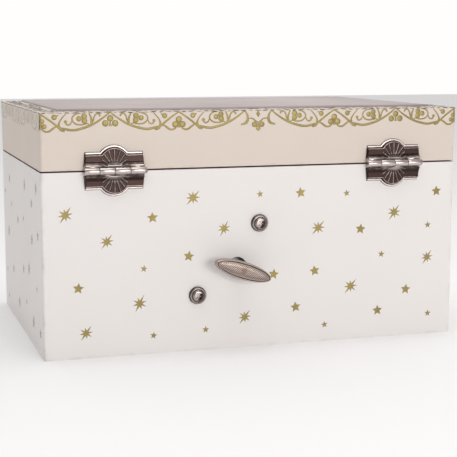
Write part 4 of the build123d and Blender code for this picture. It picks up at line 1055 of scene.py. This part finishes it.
def swollen(bm, voxel, reach, pressure):
    """Blows a closed shape up a little as cloth, so that it fills like a stuffed
    roll. No vertex moves further than reach."""
    start = remeshed(bm, voxel, 2)
    mesh = bpy.data.meshes.new("pad")
    start.to_mesh(mesh)
    start.free()
    held = [v.co.copy() for v in mesh.vertices]
    for v in mesh.vertices:
        v.co *= CLOTH_SCALE
    o = link(bpy.data.objects.new("pad", mesh))
    cloth = o.modifiers.new("cloth", "CLOTH")
    cloth.settings.quality = 6
    cloth.settings.use_pressure = True
    cloth.settings.uniform_pressure_force = pressure
    cloth.settings.effector_weights.gravity = 0.0
    for number in range(1, CLOTH_FRAMES + 1):
        bpy.context.scene.frame_set(number)
    settled(o)
    bpy.context.scene.frame_set(1)
    mesh = o.data
    bpy.data.objects.remove(o)
    for v, was in zip(mesh.vertices, held):
        move = v.co * CLOTH_BACK - was
        v.co = was + move.normalized() * min(move.length, reach)
    made = bmesh.new()
    made.from_mesh(mesh)
    bpy.data.meshes.remove(mesh)
    return made


def ring_rolls():
    """Five velvet rolls side by side: copies of one that is swelled as cloth, every other one turned."""
    low, high = corners("ring_rolls")
    middle = (low + high) / 2
    bm = bmesh.new()
    rounded_block(bm, (-ROLL_X, -ROLL_Y, 0.2), (ROLL_X, ROLL_Y, ROLL_TOP), 4.3, 6)
    roll = swollen(bm, voxel=0.9, reach=0.45, pressure=16.0)
    bmesh.ops.subdivide_edges(roll, edges=roll.edges, cuts=1, use_grid_fill=True, smooth=0.6)
    shape = bpy.data.meshes.new("roll")
    roll.to_mesh(shape)
    roll.free()
    for k in range(5):
        bm = bmesh.new()
        bm.from_mesh(shape)
        if k % 2:
            bmesh.ops.rotate(bm, cent=(0, 0, 0), matrix=Matrix.Rotation(math.pi, 3, "Z"),
                             verts=bm.verts)
        place = Vector((middle.x, middle.y + (k - 2) * ROLL_PITCH, low.z))
        for v in bm.verts:
            # shallow puckers run across each roll where the cloth is drawn in along its length
            pucker = noise.noise(Vector((v.co.x * 0.35, v.co.y * 0.08, k * 7.0)))
            v.co.z += 0.28 * pucker * ease(v.co.z, 3.0, 9.0)
            # each roll stays within its own fifth of the bed
            v.co.z = min(max(v.co.z, 0.02), 11.25)
            v.co.x = min(max(v.co.x, -29.85), 29.85)
            v.co.y = min(max(v.co.y, -5.5), 5.5)
        bmesh.ops.translate(bm, vec=place, verts=bm.verts)
        names = ["ring_rolls"] if k == 0 else []
        piece = finished(f"ring_roll_{k + 1}", bm, FINISHES["foam"], "box", names)
    bpy.data.meshes.remove(shape)


def ring_bed():
    """The soft bed that the rolls are set in, its edges rounded by the cloth."""
    low, high = corners("ring_bed")
    bm = bmesh.new()
    rounded_block(bm, low + Vector((0.05, 0.05, 0.0)), high - Vector((0.05, 0.05, 0.05)), 1.6, 4)
    piece = finished("ring_bed_foam", bm, FINISHES["foam"], "box", ["ring_bed"])


def lid_satin():
    """Satin drawn over thin wadding round the mirror, with soft folds gathered towards the glass."""
    low, high = corners("lid_lining")
    bm = bmesh.new()
    bmesh.ops.create_grid(bm, x_segments=180, y_segments=118, size=0.5)
    size = high - low
    bmesh.ops.transform(bm, matrix=Matrix.Diagonal((size.x, size.y, 1, 1)), verts=bm.verts)
    within = [f for f in bm.faces
              if abs(f.calc_center_median().x) < GLASS_X and abs(f.calc_center_median().y) < GLASS_Y]
    bmesh.ops.delete(bm, geom=within, context="FACES")
    # the window's ragged edge is drawn onto straight lines
    for v in bm.verts:
        if v.is_boundary and abs(v.co.x) < size.x / 2 - 0.1 and abs(v.co.y) < size.y / 2 - 0.1:
            if abs(abs(v.co.x) - GLASS_X) < 1.05 and abs(v.co.y) < GLASS_Y + 1.05:
                v.co.x = math.copysign(GLASS_X, v.co.x)
            if abs(abs(v.co.y) - GLASS_Y) < 1.05 and abs(v.co.x) < GLASS_X + 1.05:
                v.co.y = math.copysign(GLASS_Y, v.co.y)
    for v in bm.verts:
        x, y = v.co.xy
        inner = max(abs(x) - GLASS_X, abs(y) - GLASS_Y)
        outer = min(size.x / 2 - abs(x), size.y / 2 - abs(y))
        side = abs(x) - GLASS_X > abs(y) - GLASS_Y
        run = y if side else x
        crown = math.sin(math.pi * min(max(inner / (inner + outer + 0.001), 0.0), 1.0)) ** 0.5
        # creases run out from the glass: deep where the cloth is drawn in, fading towards the wall
        wander = 1.6 * noise.noise(Vector((run * 0.07, inner * 0.11, 5.0)))
        wave = noise.noise(Vector(((run + wander) * 0.27, inner * 0.03, 3.0 if side else 9.0)))
        crease = 1 - ease(abs(wave), 0.0, 0.2)
        fade = 1 - 0.75 * ease(inner, 2.0, 13.0)
        v.co.z = -0.98 - (1.25 - 0.85 * crease * fade - 0.5 * wave) * crown
    # the outer edge turns up to the lid, and the inner edge down in front of the glass
    raised = bmesh.ops.extrude_edge_only(bm, edges=[e for e in bm.edges if e.is_boundary])
    for v in raised["geom"]:
        if isinstance(v, bmesh.types.BMVert):
            v.co.z = 0.9 if max(abs(v.co.x) - GLASS_X, abs(v.co.y) - GLASS_Y) > 2 else -0.91
    bmesh.ops.recalc_face_normals(bm, faces=bm.faces)
    bmesh.ops.translate(bm, vec=(0, 0, 101.0), verts=bm.verts)
    piece = finished("lid_satin_pad", bm, FINISHES["satin"], "lid", ["lid_lining"])


def trim_cord(name, node, body, z, inset, radius, finish):
    """A fine twisted trim glued round an edge: two strands wound about each other."""
    low, high = corners(node)
    x = high.x - inset
    y = high.y - inset
    total = 4 * (x + y)
    # a point every 1.1 mm or so, and four points to each turn of a strand
    count = int(total / 1.1)
    runs = []
    for strand in (0.0, math.pi):
        run = []
        for k in range(count):
            far = total * k / count
            turn = strand + 2 * math.pi * k / 4
            place, inward = along_edge(far, x, y)
            sway = math.cos(turn) * radius * 0.6
            run.append((place.x + inward.x * sway, place.y + inward.y * sway,
                        z + math.sin(turn) * radius * 0.6, radius * 0.62))
        runs.append(run)
    bm = wire(name, runs, closed=True, sides=1, steps=1)
    finished(name, bm, finish, body)


def along_edge(far, x, y):
    """The place far along a rectangle's edge from its first corner, and the way inwards."""
    lengths = (2 * x, 2 * y, 2 * x, 2 * y)
    starts = (Vector((-x, -y)), Vector((x, -y)), Vector((x, y)), Vector((-x, y)))
    ways = (Vector((1, 0)), Vector((0, 1)), Vector((-1, 0)), Vector((0, -1)))
    k = 0
    while far > lengths[k] and k < 3:
        far -= lengths[k]
        k += 1
    return starts[k] + ways[k] * far, Vector((-ways[k].y, ways[k].x))


# ---- dancer, drawn upright above her pivot ----

def folded(bm):
    """Leans a shape drawn upright about the pivot forwards, as she lies under the closed lid."""
    move = Matrix.Translation(PIVOT) @ Matrix.Rotation(LEAN, 4, "X")
    bmesh.ops.transform(bm, matrix=move, verts=bm.verts)
    return bm


def dancer_piece(name, bm, finish, replaces=()):
    """Finishes a piece of the dancer that was drawn upright."""
    return finished(name, folded(bm), finish, "dancer", replaces)


def dancer_legs():
    """She stands on one toe, the other foot drawn up to her knee, in tights and ribboned shoes."""
    bm = bmesh.new()
    add_limb(bm, (0, 0, 6.4), (0.05, -0.15, 9.4), 0.62, 0.98)
    add_limb(bm, (0.05, -0.15, 9.4), (0.1, 0.05, 12.4), 0.98, 0.9)
    add_limb(bm, (0.1, 0.05, 12.4), (0.35, 0, 16.2), 0.92, 1.3)
    add_limb(bm, (0.35, 0, 16.2), (0.75, 0, 20.2), 1.3, 1.6)
    add_limb(bm, (-0.7, 0, 20.2), (-3.6, -0.5, 17.4), 1.6, 1.3)
    add_limb(bm, (-3.6, -0.5, 17.4), (-6.0, -0.8, 15.2), 1.3, 0.95)
    add_limb(bm, (-6.0, -0.8, 15.2), (-3.7, -1.0, 13.2), 0.95, 0.95)
    add_limb(bm, (-3.7, -1.0, 13.2), (-1.5, -1.1, 11.6), 0.9, 0.55)
    add_ball(bm, (0, 0.1, 20.6), (2.3, 1.7, 1.6))
    dancer_piece("dancer_legs", remeshed(bm, 0.2, 6), TIGHTS, replaces=["dancer_figure"])
    shoes = bmesh.new()
    add_limb(shoes, (0, 0, 4.3), (0, -0.1, 6.6), 0.5, 0.72)
    add_ball(shoes, (0, 0.25, 6.5), (0.62, 0.72, 0.6))
    add_limb(shoes, (-1.5, -1.1, 11.6), (-0.5, -0.85, 10.4), 0.6, 0.42)
    dancer_piece("dancer_shoes", remeshed(shoes, 0.16, 3), SHOE)
    ribbons = []
    for z, radius in ((7.0, 0.72), (7.7, 0.8), (8.4, 0.9)):
        ring = [(radius * math.cos(a), radius * math.sin(a) - 0.06, z + 0.22 * math.cos(a), 0.1)
                for a in [math.radians(30 * k) for k in range(12)]]
        ribbons.append(ring)
    dancer_piece("dancer_ribbons", wire("ribbons", ribbons, closed=True, sides=1, steps=3), SHOE)


def dancer_bust():
    """Arms, shoulders and neck in one skin, the head in another, and the bodice over the chest."""
    bm = bmesh.new()
    add_ball(bm, (0, 0.05, 26.6), (1.95, 1.25, 1.5))
    add_limb(bm, (0, 0.1, 27.6), (0, 0.05, 31.0), 0.78, 0.7)
    add_limb(bm, (-1.5, 0.1, 28.0), (1.5, 0.1, 28.0), 0.85, 0.85)
    for side in (-1, 1):
        add_ball(bm, (side * 2.0, 0.1, 28.0), 0.82)
        add_limb(bm, (side * 2.0, 0.1, 28.0), (side * 4.2, -0.2, 30.4), 0.68, 0.58)
        add_limb(bm, (side * 4.2, -0.2, 30.4), (side * 4.9, -0.4, 33.2), 0.58, 0.52)
        add_limb(bm, (side * 4.9, -0.4, 33.2), (side * 3.4, -0.6, 36.4), 0.52, 0.4)
        add_limb(bm, (side * 3.4, -0.6, 36.4), (side * 2.2, -0.7, 37.6), 0.4, 0.3)
        for finger in (-0.22, 0.0, 0.22):
            add_limb(bm, (side * 2.3, -0.7 + finger, 37.5),
                     (side * 0.95, -0.85 + finger * 1.3, 38.1), 0.2, 0.13, 10)
    dancer_piece("dancer_arms", remeshed(bm, 0.16, 4), SKIN)
    head = bmesh.new()
    add_ball(head, (0, 0.15, 33.4), (1.85, 2.0, 2.05))
    add_ball(head, (0, -0.35, 32.5), (1.45, 1.45, 1.5))
    add_ball(head, (0, -1.25, 31.75), (0.62, 0.55, 0.5))
    for side in (-1, 1):
        add_ball(head, (side * 0.78, -1.15, 32.55), (0.62, 0.62, 0.6))
        add_ball(head, (side * 1.86, 0.1, 32.9), (0.2, 0.42, 0.55))
    add_limb(head, (0, -1.72, 33.35), (0, -2.02, 32.72), 0.2, 0.27, 12)
    bm = remeshed(head, 0.13, 4)
    for v in bm.verts:
        for side in (-1, 1):
            # the sockets are pressed in a little on each side of the nose
            gap = math.hypot(v.co.x - side * 0.72, v.co.z - 33.2)
            if v.co.y < -0.9:
                v.co.y += 0.2 * (1 - ease(gap, 0.0, 0.62))
    dancer_piece("dancer_head", bm, SKIN)
    face_paint()
    hair()
    bodice = bmesh.new()
    add_ball(bodice, (0, 0.05, 26.3), (2.12, 1.5, 1.45))
    for side in (-1, 1):
        add_ball(bodice, (side * 0.85, -0.75, 26.7), (0.85, 0.75, 0.8))
    add_limb(bodice, (0, 0.05, 25.6), (0, 0.1, 22.6), 1.75, 1.5)
    add_limb(bodice, (0, 0.1, 22.6), (0, 0.1, 21.0), 1.55, 2.0)
    bodice = remeshed(bodice, 0.17, 4)
    top = bmesh.ops.bisect_plane(bodice, geom=bodice.verts[:] + bodice.edges[:] + bodice.faces[:],
                                 plane_co=(0, 0, 27.3), plane_no=(0, -0.12, 1), clear_outer=True)
    bmesh.ops.holes_fill(bodice, edges=[e for e in top["geom_cut"] if isinstance(e, bmesh.types.BMEdge)])
    dancer_piece("dancer_bodice", bodice, BODICE)
    straps = []
    for side in (-1, 1):
        straps.append([(side * 1.15, -1.15, 27.1, 0.12), (side * 1.4, -0.85, 28.2, 0.12),
                       (side * 1.4, 0.1, 28.95, 0.12), (side * 1.3, 0.95, 28.1, 0.12),
                       (side * 1.1, 1.2, 27.0, 0.12)])
    dancer_piece("dancer_straps", wire("straps", straps, sides=1, steps=6), BODICE)
    sash = [[(1.68 * math.cos(a), 1.62 * math.sin(a) + 0.1, 22.6, 0.3)
             for a in [math.radians(30 * k) for k in range(12)]]]
    dancer_piece("dancer_sash", wire("sash", sash, closed=True, sides=2, steps=4), GOLD)


def face_paint():
    """Plain doll's features: lowered lids, small brows and a closed mouth."""
    eyes = bmesh.new()
    brows = []
    for side in (-1, 1):
        add_ball(eyes, (side * 0.72, -1.63, 33.12), (0.3, 0.09, 0.17), detail=2)
        brows.append([(side * 0.4, -1.82, 33.62, 0.04), (side * 0.75, -1.74, 33.78, 0.055),
                      (side * 1.12, -1.5, 33.68, 0.035)])
        brows.append([(side * 0.4, -1.72, 33.12, 0.04), (side * 0.72, -1.74, 33.3, 0.06),
                      (side * 1.06, -1.52, 33.16, 0.04)])
    dancer_piece("dancer_eyes", eyes, EYE)
    dancer_piece("dancer_brows", wire("brows", brows, sides=1, steps=5), HAIR)
    lips = bmesh.new()
    add_ball(lips, (0, -1.76, 32.16), (0.36, 0.16, 0.09), detail=2)
    add_ball(lips, (0, -1.74, 32.0), (0.28, 0.16, 0.1), detail=2)
    dancer_piece("dancer_lips", lips, LIP)


def hair():
    """A cap of combed hair, with a coiled bun and a gold band round it."""
    bm = bmesh.new()
    add_ball(bm, (0, 0.42, 33.72), (2.02, 2.05, 2.02))
    cap = remeshed(bm, 0.16, 2)
    cut = bmesh.ops.bisect_plane(cap, geom=cap.verts[:] + cap.edges[:] + cap.faces[:],
                                 plane_co=(0, -0.75, 33.6), plane_no=(0, -0.82, -0.57), clear_outer=True)
    bmesh.ops.holes_fill(cap, edges=[e for e in cut["geom_cut"] if isinstance(e, bmesh.types.BMEdge)])
    for v in cap.verts:
        # combed furrows run back from the brow to the bun
        turn = math.atan2(v.co.x, v.co.z - 32.6)
        depth = 0.045 * math.cos(26 * turn)
        away = Vector((v.co.x, v.co.y - 0.3, v.co.z - 33.6)).normalized()
        v.co += away * depth
    dancer_piece("dancer_hair", cap, HAIR)
    coils = []
    for k, (radius, rise) in enumerate(((0.95, 0.0), (0.62, 0.42), (0.25, 0.68))):
        coils.append([(radius * math.cos(a), 1.75 + rise * 0.75 + radius * 0.55 * math.sin(a),
                       35.45 + rise * 0.65 + radius * 0.8 * -math.sin(a) * 0.4, 0.36)
                      for a in [math.radians(45 * n + 20 * k) for n in range(8)]])
    bm = wire("bun", coils, closed=True, sides=3, steps=4)
    add_ball(bm, (0, 1.9, 35.5), (0.75, 0.7, 0.7))
    dancer_piece("dancer_bun", bm, HAIR)
    band = [[(1.15 * math.cos(a), 1.55 + 0.75 * math.sin(a), 35.15 - 0.5 * math.sin(a), 0.16)
             for a in [math.radians(45 * n) for n in range(8)]]]
    dancer_piece("dancer_hair_band", wire("band", band, closed=True, sides=1, steps=4), GOLD)


# the radius at which the net is gathered, and the rows of faces from there to the rim
WAIST_R, NET_ROWS = 1.7, 9
# the ring of net takes this share of the square that it is cut from
CUT_SHARE = 0.7


def tutu():
    """Three circle-cut layers of net, gathered at the waist, each frilled towards its rim."""
    for layer, (rim_r, lift, waves, phase) in enumerate(((9.9, 0.0, 17, 0.0), (9.3, -0.75, 14, 1.1),
                                                          (8.3, -1.5, 12, 2.3))):
        bm = bmesh.new()
        bmesh.ops.create_circle(bm, cap_ends=False, segments=204, radius=WAIST_R)
        edges = bm.edges[:]
        for row in range(1, NET_ROWS + 1):
            grown = bmesh.ops.extrude_edge_only(bm, edges=edges)
            edges = [g for g in grown["geom"] if isinstance(g, bmesh.types.BMEdge)]
            ring = [g for g in grown["geom"] if isinstance(g, bmesh.types.BMVert)]
            radius = WAIST_R + (rim_r - WAIST_R) * row / NET_ROWS
            for v in ring:
                v.co = v.co.normalized() * radius
        for v in bm.verts:
            radius = v.co.length
            turn = math.atan2(v.co.y, v.co.x)
            share = max((radius - WAIST_R) / (rim_r - WAIST_R), 0.0)
            frill = math.sin(waves * turn + phase) + 0.35 * math.sin(2.3 * waves * turn + phase * 2)
            gather = 0.16 * math.sin(34 * turn + phase) * (1 - share)
            hang = 22.1 + lift * 0.55 * (0.4 + share) - 0.9 * share ** 1.6
            v.co.z = hang + 0.33 * frill * share + gather
        area = sum(f.calc_area() for f in bm.faces) * MM * MM
        side = math.sqrt(area / CUT_SHARE)
        bmesh.ops.recalc_face_normals(bm, faces=bm.faces)
        names = ["dancer_skirt"] if layer == 0 else []
        piece = dancer_piece(f"tutu_layer_{layer + 1}", bm, FINISHES["net"], names)


def foot_spring():
    """The coil under her toe, bent at rest."""
    half, coil_r, wire_r, turns = 3.0, 1.62, 0.33, 6.5
    bend_r = half / math.tan(LEAN / 2)
    count = int(turns * 12)
    run = []
    for k in range(count + 1):
        share = k / count
        bend = LEAN * share
        turn = 2 * math.pi * turns * share
        out = Vector((0, math.cos(bend), math.sin(bend)))
        centre = Vector((0, -bend_r, 0)) + out * bend_r
        place = centre + Vector((1, 0, 0)) * math.cos(turn) * coil_r + out * math.sin(turn) * coil_r
        run.append((*(place + PIVOT - Vector((0, 0, half))), wire_r))
    bm = wire("coil", [run], sides=2, steps=2)
    bmesh.ops.transform(bm, matrix=Matrix.Scale(MM, 4), verts=bm.verts)
    mesh = bpy.data.meshes.new("dancer_coil_spring")
    bm.to_mesh(mesh)
    bm.free()
    mesh.materials.append(FINISHES["steel"])
    mesh.shade_smooth()
    o = link(bpy.data.objects.new("dancer_coil_spring", mesh))
    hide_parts("dancer_spring")
    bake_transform(o)


# ---- the whole box ----

set_camera()
set_studio()
paint_frame()
lay_floor()
border("border_print", GOLD, False, (True,))
border("side_border_print", PALE_GOLD, False, (False,))
# the top border's gold foil is painted dark brown, standing for its dark reflection at a grazing view
border("top_border_print", TOP_FOIL_PAINTED_DARK, True)
edge_print()
foil_stars("foil_stars", GOLD, (((0, BOX_Y, 0), (-1, 0, 0), -1), ((0, -BOX_Y, 0), (1, 0, 0), 1)),
           (BACK_BIG, BACK_MIDDLE, BACK_SMALL))
foil_stars("side_foil_stars", GREY_FOIL, (((BOX_X, 0, 0), (0, 1, 0), 1), ((-BOX_X, 0, 0), (0, -1, 0), -1)),
           (SIDE_BIG, SIDE_MIDDLE, SIDE_SMALL))
for hinge_side in (-1, 1):
    for leaf_side in (-1, 1):
        hinge_leaf(hinge_side, leaf_side)
thumb_plate()
for board in ("long_partition", "bay_left_partition", "bay_right_partition", "front_left_partition",
              "front_right_partition"):
    covered_partition(board)
ring_bed()
ring_rolls()
lid_satin()
trim_cord("lid_trim_cord", "lid_lining", "lid", 98.9, 0.75, 0.7, GOLD)
dancer_legs()
dancer_bust()
tutu()
foot_spring()
